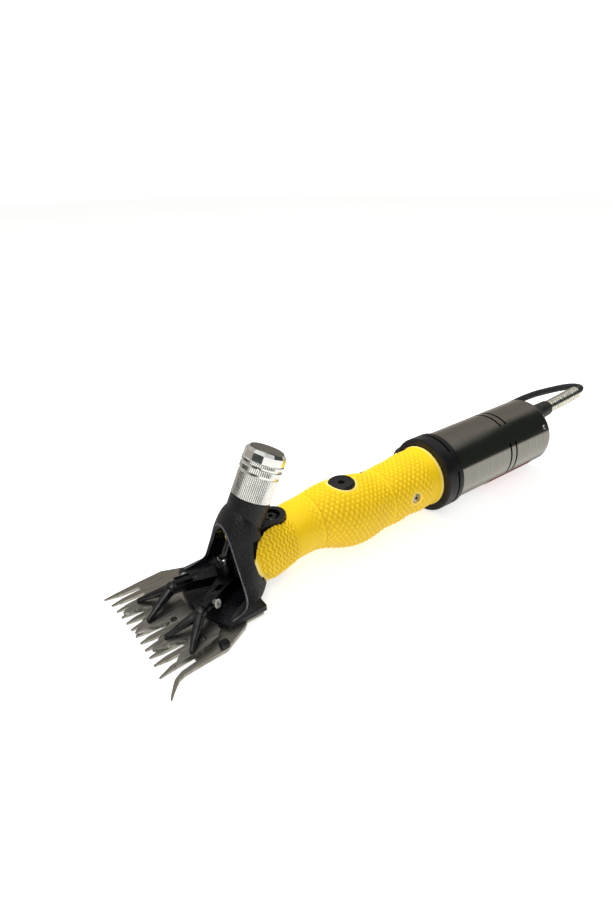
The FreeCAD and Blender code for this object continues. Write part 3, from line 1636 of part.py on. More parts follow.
# ---- writing -----------------------------------------------------------------------------------------------
doc.recompute()
os.makedirs("parts", exist_ok=True)
HELPERS = ["fork_body_core"]
made = []
for item in doc.Objects:
    if item.Label in HELPERS:
        continue
    if item.TypeId not in ("PartDesign::Body", "Part::Feature"):
        continue
    if "Invalid" in item.State or "Error" in item.State:
        raise RuntimeError("%s did not recompute" % item.Label)
    if item.Shape.isNull() or not item.Shape.isValid():
        raise RuntimeError("%s has no valid shape" % item.Label)
    item.Shape.exportStep("parts/%s.step" % item.Label)
    made.append(item.Label)
print("wrote %d parts: %s" % (len(made), ", ".join(sorted(made))))
print("crank throw %.3f" % crank_throw)
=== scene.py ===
"""Sheep shears: materials, the textured grip, the knurled nut, the lead, the stage, lights and camera.

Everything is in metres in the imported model's frame. MM turns the millimetres used here into metres.
"""
import math

import bmesh
import bpy
import numpy as np
from mathutils import Matrix, Vector


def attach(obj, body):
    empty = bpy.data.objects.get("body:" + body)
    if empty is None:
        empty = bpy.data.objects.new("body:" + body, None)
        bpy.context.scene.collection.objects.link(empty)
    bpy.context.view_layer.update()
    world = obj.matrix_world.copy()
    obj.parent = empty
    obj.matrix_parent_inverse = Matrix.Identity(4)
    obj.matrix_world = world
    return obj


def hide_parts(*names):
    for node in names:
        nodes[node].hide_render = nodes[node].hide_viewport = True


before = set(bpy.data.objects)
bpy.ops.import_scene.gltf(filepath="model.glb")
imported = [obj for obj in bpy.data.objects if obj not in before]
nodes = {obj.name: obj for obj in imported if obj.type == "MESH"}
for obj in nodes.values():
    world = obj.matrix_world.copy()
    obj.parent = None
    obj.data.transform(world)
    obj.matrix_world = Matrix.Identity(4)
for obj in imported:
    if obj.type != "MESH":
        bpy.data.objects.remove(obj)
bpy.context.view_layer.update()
MM = 0.001

# ---- frames of the parts, as in the CAD ----------------------------------------------------------
COLLAR_RADIUS = 26.6
COLLAR_FRONT = 216.5
HANDLE_RISE = math.radians(1.0)
CASE_END = 334.0
NUT_FOOT = (77.5, 0, 60.7)
NUT_LEAN = math.radians(25.6)
EXIT_LIFT = 9.6
EXIT_RISE = math.radians(5.06)
CORD_DIAMETER = 5.6


def placed(origin, lean):
    """A frame at an origin in millimetres, leaned back from +Z towards +X by an angle."""
    return Matrix.Translation(Vector(origin) * MM) @ Matrix.Rotation(lean, 4, "Y")


handle_height = COLLAR_RADIUS * math.cos(HANDLE_RISE) - COLLAR_FRONT * math.sin(HANDLE_RISE)
handle_frame = placed((0, 0, handle_height), -HANDLE_RISE)
nut_frame = placed(NUT_FOOT, NUT_LEAN)
exit_origin = handle_frame @ (Vector((CASE_END, 0, EXIT_LIFT)) * MM)
exit_frame = Matrix.Translation(exit_origin) @ Matrix.Rotation(-EXIT_RISE, 4, "Y")


# ---- camera --------------------------------------------------------------------------------------
CAMERA_PLACE = (-72.0, -260.6, 244.3)
CAMERA_RIGHT = (0.8054, -0.5926, -0.0138)
CAMERA_FORWARD = (0.5169, 0.7136, -0.4729)
CAMERA_LENS = 24.30
SENSOR_WIDTH = 36.0
NEAREST = 0.01


def make_camera():
    data = bpy.data.cameras.new("camera")
    data.sensor_width = SENSOR_WIDTH
    data.lens = CAMERA_LENS
    data.clip_start = NEAREST
    camera = bpy.data.objects.new("camera", data)
    bpy.context.scene.collection.objects.link(camera)
    right = Vector(CAMERA_RIGHT).normalized()
    forward = Vector(CAMERA_FORWARD).normalized()
    up = right.cross(forward).normalized()
    turn = Matrix((right, up, -forward)).transposed().to_4x4()
    camera.matrix_world = Matrix.Translation(Vector(CAMERA_PLACE) * MM) @ turn
    bpy.context.scene.camera = camera


make_camera()


# ---- materials -----------------------------------------------------------------------------------
# The part of its range that a noise mostly keeps to.
NOISE_LOW = 0.3
NOISE_HIGH = 0.7


def fill_ramp(node, stops):
    """Give a colour ramp its stops, each a place and a colour."""
    elements = node.color_ramp.elements
    while len(elements) < len(stops):
        elements.new(0.5)
    for element, (place, colour) in zip(elements, stops):
        element.position = place
        element.color = (*colour, 1.0)


class Shader:
    """A material whose nodes are added one by one round a principled shader."""

    def __init__(self, name, **sockets):
        self.material = bpy.data.materials.new(name)
        self.material.use_nodes = True
        self.tree = self.material.node_tree
        self.bsdf = self.tree.nodes["Principled BSDF"]
        self.coordinates = self.tree.nodes.new("ShaderNodeTexCoord").outputs["Object"]
        for socket, value in sockets.items():
            self.bsdf.inputs[socket.replace("_", " ")].default_value = value

    def node(self, kind, **values):
        node = self.tree.nodes.new(kind)
        for key, value in values.items():
            setattr(node, key, value)
        return node

    def link(self, source, target):
        self.tree.links.new(source, target)

    def mapped(self, scale, matrix=None):
        """Object coordinates in the frame of a matrix, times a scale for each axis."""
        mapping = self.node("ShaderNodeMapping")
        source = self.coordinates
        if matrix is not None:
            turn = self.node("ShaderNodeMapping", vector_type="TEXTURE")
            turn.inputs["Location"].default_value = matrix.to_translation()
            turn.inputs["Rotation"].default_value = matrix.to_euler()
            self.link(source, turn.inputs["Vector"])
            source = turn.outputs["Vector"]
        mapping.inputs["Scale"].default_value = scale
        self.link(source, mapping.inputs["Vector"])
        return mapping.outputs["Vector"]

    def noise(self, scale, detail=2.0, vector=None):
        node = self.node("ShaderNodeTexNoise")
        node.inputs["Scale"].default_value = scale
        node.inputs["Detail"].default_value = detail
        self.link(vector or self.coordinates, node.inputs["Vector"])
        return node.outputs["Fac"]

    def ramp(self, source, stops):
        node = self.node("ShaderNodeValToRGB")
        fill_ramp(node, stops)
        self.link(source, node.inputs["Fac"])
        return node.outputs["Color"]

    def colour(self, source, stops):
        self.link(self.ramp(source, stops), self.bsdf.inputs["Base Color"])

    def rough(self, source, low, high):
        node = self.node("ShaderNodeMapRange")
        node.inputs["From Min"].default_value = NOISE_LOW
        node.inputs["From Max"].default_value = NOISE_HIGH
        node.inputs["To Min"].default_value = low
        node.inputs["To Max"].default_value = high
        self.link(source, node.inputs["Value"])
        self.link(node.outputs["Result"], self.bsdf.inputs["Roughness"])

    def bump(self, height, distance, strength):
        node = self.node("ShaderNodeBump")
        node.inputs["Distance"].default_value = distance
        node.inputs["Strength"].default_value = strength
        self.link(height, node.inputs["Height"])
        self.link(node.outputs["Normal"], self.bsdf.inputs["Normal"])


def wrinkle_paint():
    shader = Shader("wrinkle_paint", Specular_IOR_Level=0.30)
    grain = shader.noise(scale=1500, detail=2)
    shader.colour(grain, [(0.35, (0.004, 0.004, 0.005)), (0.75, (0.015, 0.015, 0.019))])
    shader.rough(shader.noise(scale=420), low=0.20, high=0.32)
    shader.bump(grain, distance=0.0006, strength=0.6)
    return shader.material


def ground_steel(name, dark, light, fine=1.0):
    """Ground steel, with fine lines that run along the teeth."""
    shader = Shader(name, Metallic=1.0)
    lines = shader.noise(scale=1.0, detail=3, vector=shader.mapped((90.0, 3200.0 * fine, 90.0)))
    shader.colour(lines, [(0.30, dark), (0.72, light)])
    shader.rough(shader.noise(scale=60, detail=3), low=0.24, high=0.40)
    shader.bump(lines, distance=0.00004, strength=0.6)
    return shader.material


def plain_metal(name, dark, light, low=0.12, high=0.24, scale=300):
    shader = Shader(name, Metallic=1.0)
    cloud = shader.noise(scale, detail=3)
    shader.colour(cloud, [(0.30, dark), (0.75, light)])
    shader.rough(cloud, low=low, high=high)
    shader.bump(shader.noise(scale=2200, detail=2), distance=0.00002, strength=0.5)
    return shader.material


def case_steel():
    """Polished stainless tube with very fine polishing lines round its axis."""
    shader = Shader("case_steel", Metallic=1.0)
    lines = shader.noise(scale=1.0, detail=3, vector=shader.mapped((2600, 30, 30), handle_frame))
    shader.colour(lines, [(0.25, (0.235, 0.228, 0.205)), (0.8, (0.32, 0.31, 0.285))])
    shader.rough(shader.noise(scale=25, detail=2), low=0.10, high=0.17)
    shader.bump(lines, distance=0.00002, strength=0.35)
    return shader.material


def moulded(name, dark, light, low=0.30, high=0.42, grain=900, height=0.00006):
    shader = Shader(name, Specular_IOR_Level=0.28)
    speck = shader.noise(grain, detail=2)
    shader.colour(shader.noise(scale=120, detail=2), [(0.3, dark), (0.75, light)])
    shader.rough(shader.noise(scale=260), low=low, high=high)
    shader.bump(speck, distance=height, strength=0.6)
    return shader.material


def rubber_yellow():
    """Yellow rubber, with painted shade in the hollows of its relief, painted light on its crests and a
    painted highlight on its lips.
    """
    shader = Shader("rubber_yellow", Specular_IOR_Level=0.25)

    def painted(name):
        return shader.node("ShaderNodeAttribute", attribute_name=name).outputs["Fac"]

    def mixed(kind, factor, first, second):
        mix = shader.node("ShaderNodeMix", data_type="RGBA", blend_type=kind)
        for socket, value in (("Factor", factor), ("A", first), ("B", second)):
            if isinstance(value, bpy.types.NodeSocket):
                shader.link(value, mix.inputs[socket])
            else:
                mix.inputs[socket].default_value = value
        return mix.outputs["Result"]

    # Painted shade in the hollows of the ribs, bumps and creases, and painted light on their tops and on
    # the seams.
    relief = shader.ramp(
        painted("shade"),
        [(0.0, (0.66, 0.40, 0.005)), (0.5, (0.92, 0.610, 0.011)), (1.0, (0.99, 0.700, 0.022))],
    )
    stains = [(0.25, (0.94, 0.92, 0.90)), (0.8, (1.0, 1.0, 1.0))]
    cloud = shader.ramp(shader.noise(scale=40, detail=3), stains)
    colour = mixed("MULTIPLY", 1.0, relief, cloud)
    # Painted highlight along the raised lips, mixed in as a paler yellow.
    colour = mixed("MIX", painted("lip"), colour, (0.95, 0.78, 0.28, 1.0))
    shader.link(colour, shader.bsdf.inputs["Base Color"])
    shader.rough(shader.noise(scale=500), low=0.34, high=0.48)
    shader.bump(shader.noise(scale=3000, detail=2), distance=0.00004, strength=0.5)
    return shader.material


def rubber_black():
    shader = Shader("rubber_black", Specular_IOR_Level=0.4)
    shader.colour(shader.noise(scale=200), [(0.3, (0.008, 0.008, 0.009)), (0.8, (0.020, 0.020, 0.022))])
    shader.rough(shader.noise(scale=150), low=0.38, high=0.52)
    shader.bump(shader.noise(scale=1800), distance=0.00005, strength=0.4)
    return shader.material


# A metal or moulding has a name, its darkest and lightest colour, and its lowest and highest roughness.
MATERIALS = {
    "paint": wrinkle_paint(),
    "comb": ground_steel("comb_steel", (0.235, 0.225, 0.19), (0.43, 0.415, 0.37)),
    "cutter": ground_steel("cutter_steel", (0.15, 0.146, 0.134), (0.50, 0.49, 0.46), fine=0.6),
    "fork": plain_metal("fork_black", (0.020, 0.021, 0.024), (0.055, 0.056, 0.062), 0.26, 0.42),
    "yoke": plain_metal("yoke_steel", (0.040, 0.040, 0.042), (0.090, 0.090, 0.092), 0.28, 0.42),
    "bright": plain_metal("bright_steel", (0.20, 0.20, 0.20), (0.55, 0.55, 0.54), 0.14, 0.30, scale=700),
    "nickel": plain_metal("nickel", (0.86, 0.86, 0.85), (0.98, 0.98, 0.97), 0.12, 0.20),
    "nut_top": plain_metal("nut_top", (0.23, 0.225, 0.20), (0.31, 0.30, 0.27), 0.42, 0.5, scale=80),
    "relief": plain_metal("relief_nickel", (0.50, 0.47, 0.40), (0.95, 0.93, 0.86), 0.14, 0.26, scale=420),
    "case": case_steel(),
    "inner": plain_metal("inner_steel", (0.35, 0.35, 0.36), (0.55, 0.55, 0.56), 0.25, 0.4),
    "collar": moulded("collar_black", (0.005, 0.005, 0.006), (0.011, 0.011, 0.013), 0.34, 0.46),
    "plug": moulded("plug_black", (0.005, 0.005, 0.006), (0.014, 0.014, 0.015), 0.30, 0.42),
    "gland": moulded("gland_grey", (0.014, 0.014, 0.014), (0.032, 0.032, 0.031), 0.36, 0.5),
    "film": moulded("film_red", (0.20, 0.006, 0.005), (0.28, 0.010, 0.008), 0.25, 0.34),
    "yellow": rubber_yellow(),
    "cord": rubber_black(),
    "copper": plain_metal("copper_wound", (0.50, 0.24, 0.10), (0.68, 0.38, 0.18), 0.25, 0.4),
    "iron": plain_metal("stator_iron", (0.10, 0.10, 0.11), (0.20, 0.20, 0.21), 0.35, 0.5),
    # The bar round the head's mouth is lighter grey than the paint, as a painted highlight along the
    # rounded edge.
    "edge": moulded(
        "mouth_edge_highlight", (0.055, 0.056, 0.062), (0.22, 0.22, 0.24), 0.22, 0.36, grain=700, height=0.00005,
    ),
    # Near black for the screw down in its shaded recess, with pale gold specks as painted glints.
    "glint": plain_metal("painted_glints_steel", (0.02, 0.018, 0.015), (0.75, 0.68, 0.52), 0.10, 0.22, scale=800),
    "dark_steel": plain_metal("dark_steel", (0.045, 0.045, 0.047), (0.11, 0.11, 0.11), 0.22, 0.34),
    "brass": plain_metal("brass", (0.62, 0.45, 0.18), (0.80, 0.62, 0.28), 0.18, 0.28),
}

NODE_MATERIALS = {
    "paint": ["head_casting"],
    "comb": ["comb"],
    "cutter": ["cutter"],
    "fork": ["fork_body", "comb_stop"],
    "yoke": ["left_yoke", "right_yoke"],
    "dark_steel": ["tension_pin", "ear_screw"],
    "bright": [
        "comb_screws", "yoke_screws", "tension_cup", "case_screws", "crank_roller", "connector_ring",
    ],
    "glint": ["grip_screw"],
    "nickel": ["tension_nut"],
    "nut_top": ["nut_cap"],
    "relief": ["strain_relief"],
    "case": ["motor_case"],
    "inner": [
        "tension_sleeve", "centre_post", "crankshaft", "front_bearing", "rear_bearing", "barrel_tube",
        "shaft_coupling", "motor_plate", "motor_shaft", "motor_bearings", "motor_end_bell",
    ],
    "collar": ["collar"],
    "plug": ["grip_plug", "connector_body", "cord_tie", "motor_fan"],
    "gland": ["gland"],
    "film": ["motor_label"],
    "yellow": ["grip"],
    "cord": ["cord", "cord_hank", "cord_end", "cord_tail"],
    "copper": ["motor_rotor"],
    "iron": ["motor_stator"],
    "brass": ["connector_pins"],
}


def dress(piece, key):
    piece.data.materials.clear()
    piece.data.materials.append(MATERIALS[key])


for key, names in NODE_MATERIALS.items():
    for name in names:
        dress(nodes[name], key)


# ---- pieces with finer shapes than the CAD's -----------------------------------------------------
def add_piece(name, mesh, key, body, slot, *replaced):
    """A piece of our own that rides on a CAD body and takes the place of CAD nodes."""
    piece = bpy.data.objects.new(name, mesh)
    bpy.context.scene.collection.objects.link(piece)
    mesh.materials.clear()
    mesh.materials.append(MATERIALS[key])
    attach(piece, body)
    if replaced:
        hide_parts(*replaced)
    return piece


def tube(name, key, points, radius, steps_along, steps_around):
    """A round bar that follows points in millimetres smoothly."""
    curve = bpy.data.curves.new(name, "CURVE")
    curve.dimensions = "3D"
    curve.bevel_depth = radius * MM
    curve.bevel_resolution = steps_around
    curve.resolution_u = steps_along
    spline = curve.splines.new("NURBS")
    spline.points.add(len(points) - 1)
    for spot, point in zip(spline.points, points):
        spot.co = (*(Vector(point) * MM), 1.0)
    spline.order_u = 3
    spline.use_endpoint_u = True
    bar = bpy.data.objects.new(name, curve)
    bpy.context.scene.collection.objects.link(bar)
    curve.materials.append(MATERIALS[key])
    return bar


def join_loops(bm, loops):
    """Make the faces between each loop of vertices and the next."""
    for low, high in zip(loops, loops[1:]):
        for k in range(len(low)):
            after = (k + 1) % len(low)
            bm.faces.new((low[k], low[after], high[after], high[k]))


def fine_mesh(source, voxel):
    """The mesh of a CAD node, made again of small even faces."""
    rough = bpy.data.objects.new("rough", source.data.copy())
    bpy.context.scene.collection.objects.link(rough)
    remesh = rough.modifiers.new("voxels", "REMESH")
    remesh.mode = "VOXEL"
    remesh.voxel_size = voxel
    graph = bpy.context.evaluated_depsgraph_get()
    mesh = bpy.data.meshes.new_from_object(rough.evaluated_get(graph))
    bpy.data.objects.remove(rough)
    mesh.shade_smooth()
    return mesh


def smooth_step(value, low, high):
    share = np.clip((value - low) / (high - low), 0.0, 1.0)
    return share * share * (3 - 2 * share)


def ridge(distance, width):
    return np.exp(-((distance / width) ** 2))


def read_vectors(items, name):
    values = np.empty(len(items) * 3)
    items.foreach_get(name, values)
    return values.reshape(-1, 3)


# The grip's axis and lobe edge, as in the CAD: along the handle, and above its axis.
GRIP_AXIS = [
    (64, 0.2), (90, 0.9), (103, 2.0), (112, 2.9), (119, 2.8), (127, 1.9), (135, 0.5), (144, -0.9),
    (152, -1.7), (168, -2.5), (175, -2.6), (185, -1.8), (208, -0.2), (216.5, 0),
]
LOBE_EDGE = [(69.5, 22), (67.6, 13), (67.2, 6), (68.2, -1), (72.5, -9.5), (79, -16), (85, -24)]
PLUG_PLACE = 144.0
PLUG_RADIUS = 8.6
SCREW_PLACE = 192.2
GRIP_VOXEL = 0.42
FAR_AWAY = 1e9

# The rubber's relief in millimetres. A pair is the stretch over which a pattern comes in or fades out.
RIB_PITCH = 2.75
RIB_HEIGHT = 0.46
RIB_FULLNESS = 0.35
RIBS_END = (96, 101)
ZIGZAGS_AROUND = 30
ZIGZAG_REACH = 1.5
BUMP_PITCH = 3.8
BUMP_HEIGHT = 0.62
BUMPS_AROUND = 24
BUMPS_START = (104, 121)
BUMPS_END = (203, 211)
# How strongly the bumps' painted shading darkens their hollows and lightens their tops, and where that
# shading is neutral.
BUMP_SHADE = 0.7
MIDDLE_OF_BUMP = 0.45
PLUG_RIM = (PLUG_RADIUS + 1.2, PLUG_RADIUS + 4)
SCREW_RIM = (4.0, 6.5)
SEAM_PLACES = (117.3, 174.0)
SEAM_WIDTH = 0.5
SEAM_HEIGHT = 0.42
SEAM_SMOOTH_WIDTH = 1.2
CREASE_BEHIND_SEAM = 1.1
CREASE_DEPTH = 0.30

# The raised lips: round the lobes, round the plug, at the collar and round the screw.
LOBE_LIP = (1.5, 2.4)
LOBE_RIBS_START = (2.4, 3.4)
LIP_HEIGHT = 0.40
LIP_WIDTH = 0.6
# How strongly a lip's height turns into its painted highlight.
LIP_HIGHLIGHT_GAIN = 2.2
PLUG_LIP_RADIUS = PLUG_RADIUS + 0.7
PLUG_LIP_HEIGHT = 0.45
REAR_LIP_PLACE = 215.6
REAR_LIP_WIDTH = 0.8
SCREW_LIP_RADIUS = 4.0
SCREW_LIP_HEIGHT = 0.25

# The relief is on the rubber's outer face only: how far that face looks outward, and its least radius.
OUTWARD = (0.3, 0.7)
OUTER_RADIUS = (16.0, 16.6)


def distance_to_line(x, y, corners):
    """The distance of points from an open polygon."""
    best = np.full(len(x), FAR_AWAY)
    for (x0, y0), (x1, y1) in zip(corners, corners[1:]):
        length = math.hypot(x1 - x0, y1 - y0)
        ux, uy = (x1 - x0) / length, (y1 - y0) / length
        t = np.clip((x - x0) * ux + (y - y0) * uy, 0, length)
        best = np.minimum(best, np.hypot(x - x0 - t * ux, y - y0 - t * uy))
    return best


def grip_relief(along, across, height, angle):
    """The rubber's relief in millimetres, with its painted shading and its painted lip highlight from 0
    to 1.
    """
    turn = angle / (2 * math.pi)
    edge = distance_to_line(along, height, LOBE_EDGE)
    plug = np.where(height > 0, np.hypot(along - PLUG_PLACE, across), FAR_AWAY)
    screw = np.where(across < 0, np.hypot(along - SCREW_PLACE, height), FAR_AWAY)

    # Zig-zag ribs on the lobes.
    zigzag = np.abs(((turn * ZIGZAGS_AROUND) % 1.0) * 2 - 1) * ZIGZAG_REACH
    wave = np.cos(2 * math.pi * (along + zigzag) / RIB_PITCH)
    ribbed = (1 - smooth_step(along, *RIBS_END)) * smooth_step(edge, *LOBE_RIBS_START)

    # Round bumps in slanting rows behind them.
    first = 0.5 + 0.5 * np.cos(2 * math.pi * (along / BUMP_PITCH + turn * BUMPS_AROUND))
    second = 0.5 + 0.5 * np.cos(2 * math.pi * (along / BUMP_PITCH - turn * BUMPS_AROUND))
    bump = first * second
    bumpy = smooth_step(along, *BUMPS_START) * (1 - smooth_step(along, *BUMPS_END))
    bumpy *= smooth_step(plug, *PLUG_RIM) * smooth_step(screw, *SCREW_RIM)
    seams = np.zeros(len(along))
    for place in SEAM_PLACES:
        bumpy *= 1 - ridge(along - place, SEAM_SMOOTH_WIDTH)
        seams += SEAM_HEIGHT * ridge(along - place, SEAM_WIDTH)
        seams -= CREASE_DEPTH * ridge(along - place - CREASE_BEHIND_SEAM, SEAM_WIDTH)

    lips = LIP_HEIGHT * (1 - smooth_step(edge, *LOBE_LIP))
    lips += PLUG_LIP_HEIGHT * ridge(plug - PLUG_LIP_RADIUS, LIP_WIDTH)
    lips += LIP_HEIGHT * ridge(along - REAR_LIP_PLACE, REAR_LIP_WIDTH)
    lips += SCREW_LIP_HEIGHT * ridge(screw - SCREW_LIP_RADIUS, LIP_WIDTH)
    relief = RIB_HEIGHT * np.clip(wave + RIB_FULLNESS, 0, None) * ribbed
    relief += BUMP_HEIGHT * bump * bumpy + seams + lips
    # Painted shading: darker in the hollows of the relief and lighter on its tops, where shade and light
    # fall.
    shade = 0.5 + 0.5 * wave * ribbed + BUMP_SHADE * (np.sqrt(bump) - MIDDLE_OF_BUMP) * bumpy + seams
    return relief, np.clip(shade, 0, 1), np.clip(lips * LIP_HIGHLIGHT_GAIN, 0, 1)


def make_grip():
    mesh = fine_mesh(nodes["grip"], GRIP_VOXEL * MM)
    places = read_vectors(mesh.vertices, "co")
    normals = read_vectors(mesh.vertex_normals, "vector")
    into = np.array(handle_frame.inverted())
    along, across, height = ((places @ into[:3, :3].T + into[:3, 3]) / MM).T
    facing = normals @ into[:3, :3].T
    lift = height - np.interp(along, *np.array(GRIP_AXIS).T)
    radius = np.hypot(across, lift)
    outward = (facing[:, 1] * across + facing[:, 2] * lift) / radius
    relief, shade, lips = grip_relief(along, across, height, np.arctan2(across, lift))
    relief *= smooth_step(outward, *OUTWARD) * smooth_step(radius, *OUTER_RADIUS)
    places += normals * (relief * MM)[:, None]
    mesh.vertices.foreach_set("co", places.ravel())
    # The painted shading and the painted lip highlight are kept on the mesh for the rubber's colour.
    for name, values in (("shade", shade), ("lip", lips)):
        mesh.attributes.new(name, "FLOAT", "POINT").data.foreach_set("value", values)
    mesh.update()
    add_piece("grip_rubber", mesh, "yellow", "handpiece", "grip_yellow", "grip")


make_grip()

# The tension nut: its radii, and heights above its foot.
NUT_RADIUS = 12.0
NUT_LENGTH = 29.7
NUT_TOP = NUT_LENGTH - 0.6
TOP_CHAMFER = 1.6
CAP_SEAT_RADIUS = NUT_RADIUS - 2.0
NUT_CEILING = 22.0
NUT_BORE = 10.28
BORE_CHAMFER = 0.4
# The ends are closed by a small face at the axis.
CORE_RADIUS = 0.4
LOWER_GROOVE = NUT_LENGTH - 14.8
UPPER_GROOVE = NUT_LENGTH - 10.4
GROOVE_WIDTH = 1.5
GROOVE_DEPTH = 0.9
# How far the knurled ring above each groove stands out, and how deep its knurl is.
LOWER_RING = (0.3, 0.36)
UPPER_RING = (0.45, 0.40)
RING_CHAMFER = 0.35
KNURL_START = 0.55
KNURL_END = LOWER_GROOVE - 0.4
KNURL_ROWS = 52
KNURLS = 66
STEPS_PER_KNURL = 6
KNURL_DEPTH = 0.42
CROSS_PITCH = 1.1
CROSS_SHARE = 0.40
FLATS_START = NUT_LENGTH - 7.0
FLATS_RADIUS = NUT_RADIUS + 0.2
FLATS_LIMIT = NUT_RADIUS + 0.15
FLATS_TURN = 0.2
FLATS = 12


def zigzag_share(value):
    """A zig-zag between 0 and 1 that repeats with each whole number."""
    return abs((value % 1.0) * 2 - 1)


def nut_radius_at(height, angle):
    """The nut's outer radius: a long knurl, two polished grooves with knurled rings, and flats above."""
    knurl = zigzag_share(angle * KNURLS / (2 * math.pi))
    if height < LOWER_GROOVE - 0.3:
        return NUT_RADIUS - KNURL_DEPTH * max(knurl, CROSS_SHARE * zigzag_share(height / CROSS_PITCH))
    if height < LOWER_GROOVE + GROOVE_WIDTH or UPPER_GROOVE <= height < UPPER_GROOVE + GROOVE_WIDTH:
        return NUT_RADIUS - GROOVE_DEPTH
    if height < FLATS_START:
        rise, depth = LOWER_RING if height < UPPER_GROOVE else UPPER_RING
        return NUT_RADIUS + rise - depth * knurl
    half = math.pi / FLATS
    flat = FLATS_RADIUS * math.cos(half) / math.cos((angle + FLATS_TURN) % (2 * half) - half)
    return min(flat, FLATS_LIMIT)


def nut_levels():
    """The heights and insets of the rings that make the nut's outside, from its foot to its top."""
    levels = [(0.0, 0.5), (0.5, 0.05)]
    for k in range(KNURL_ROWS + 1):
        levels.append((KNURL_START + (KNURL_END - KNURL_START) * k / KNURL_ROWS, 0.0))
    for start, end in ((LOWER_GROOVE, UPPER_GROOVE), (UPPER_GROOVE, FLATS_START)):
        levels += [(start, 0.0), (start + GROOVE_WIDTH - 0.05, 0.0), (start + GROOVE_WIDTH, 0.0)]
        levels += [(end - RING_CHAMFER, 0.0), (end - 0.01, RING_CHAMFER)]
    levels += [(FLATS_START + 0.2, 0.0), (NUT_LENGTH - 2.4, 0.0), (NUT_TOP, TOP_CHAMFER)]
    return levels


def make_nut():
    mesh = bpy.data.meshes.new("nut")
    bm = bmesh.new()
    around = KNURLS * STEPS_PER_KNURL
    angles = [2 * math.pi * k / around for k in range(around)]

    def loop(height, radius_at):
        ring = []
        for turn in angles:
            radius = radius_at(turn)
            place = Vector((radius * math.cos(turn), radius * math.sin(turn), height))
            ring.append(bm.verts.new(nut_frame @ (place * MM)))
        return ring

    def circle(radius, height):
        return loop(height, lambda turn: radius)

    loops = [
        circle(CORE_RADIUS, NUT_CEILING),
        circle(NUT_BORE, NUT_CEILING),
        circle(NUT_BORE, BORE_CHAMFER),
        circle(NUT_BORE + BORE_CHAMFER, 0.0),
    ]
    for height, inset in nut_levels():
        loops.append(loop(height, lambda turn: nut_radius_at(height, turn) - inset))
    loops += [circle(CAP_SEAT_RADIUS, NUT_TOP), circle(CORE_RADIUS, NUT_TOP)]
    join_loops(bm, loops)
    bm.faces.new(loops[-1])
    bm.faces.new(loops[0][::-1])
    bmesh.ops.recalc_face_normals(bm, faces=bm.faces)
    bm.to_mesh(mesh)
    bm.free()
    mesh.shade_flat()
    add_piece("nut_knurled", mesh, "nickel", "nut", "nut_chrome", "tension_nut")


make_nut()

# A thin bar along the head's mouth, lighter grey than the paint: a painted highlight on the mouth's
# rounded edge.
MOUTH_EDGE_RADIUS = 0.55
# The rounded edge of the head's mouth, from the bed up to its crest: along, sideways and up.
MOUTH_EDGE = [
    (44.5, 28.9, 7.9), (49, 28.6, 8.3), (53.4, 27.9, 9.3), (56.3, 26.3, 11.6), (57.2, 23.6, 15.5),
    (57.4, 21.2, 20), (57.4, 18.6, 25), (57.4, 13.3, 35), (57.4, 9.4, 43.2), (57.4, 5.2, 48.3),
    (57.4, 0, 50.3),
]


def make_mouth_edge():
    near_side = [(x, -y, z) for x, y, z in MOUTH_EDGE]
    far_side = MOUTH_EDGE[-2::-1]
    places = near_side + far_side
    edge = tube("mouth_edge", "edge", places, MOUTH_EDGE_RADIUS, steps_along=10, steps_around=3)
    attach(edge, "handpiece")


make_mouth_edge()


# ---- the lead ------------------------------------------------------------------------------------
HANK_LENGTH = 104.0
HANK_FAR = 59.8
HANK_FOLD_RADIUS = 16.8
HANK_MIDDLE = Vector((297.0, HANK_FAR - HANK_FOLD_RADIUS, 0))
HALF_STRAIGHT = HANK_LENGTH / 2 - HANK_FOLD_RADIUS
# A smooth curve cuts its corners a little, so the folds' points lie a little further out.
FOLD_SWELL = 1.03
FOLD_POINTS = 5
STRAIGHT_SHARES = (0.6, 0.0, -0.6)
# The last turn ends where the lead leaves the hank for the connector.
LAST_TURN_POINTS = 6
RELIEF_LENGTH = 64.0
STRAIGHT_AFTER_RELIEF = 10.5
cord_exit = exit_frame @ (Vector((RELIEF_LENGTH, 0, 0)) * MM)

# The same places as the CAD route, from the strain relief to the hank and from there to the connector.
# The hank's own turns take the place of the last of the first list and the first of the second.
FREE_ROUTE = [
    cord_exit / MM,
    (exit_frame @ (Vector((RELIEF_LENGTH + STRAIGHT_AFTER_RELIEF, 0, 0)) * MM)) / MM,
    Vector((412.3, 9.5, 42.9)),
    Vector((409.5, 17.8, 40.2)),
    Vector((399.5, 24.8, 37.6)),
    Vector((382.0, 32.5, 34.6)),
    Vector((360.0, 42.0, 25.5)),
    Vector((341.0, 51.0, 14.5)),
    Vector((325.0, 57.6, 9.0)),
]
END_ROUTE = [
    Vector((245.8, 48.9, 7.2)),
    Vector((242.9, 43.6, 8.0)),
    Vector((238.0, 40.0, 8.4)),
    Vector((232.0, 40.0, 8.4)),
]


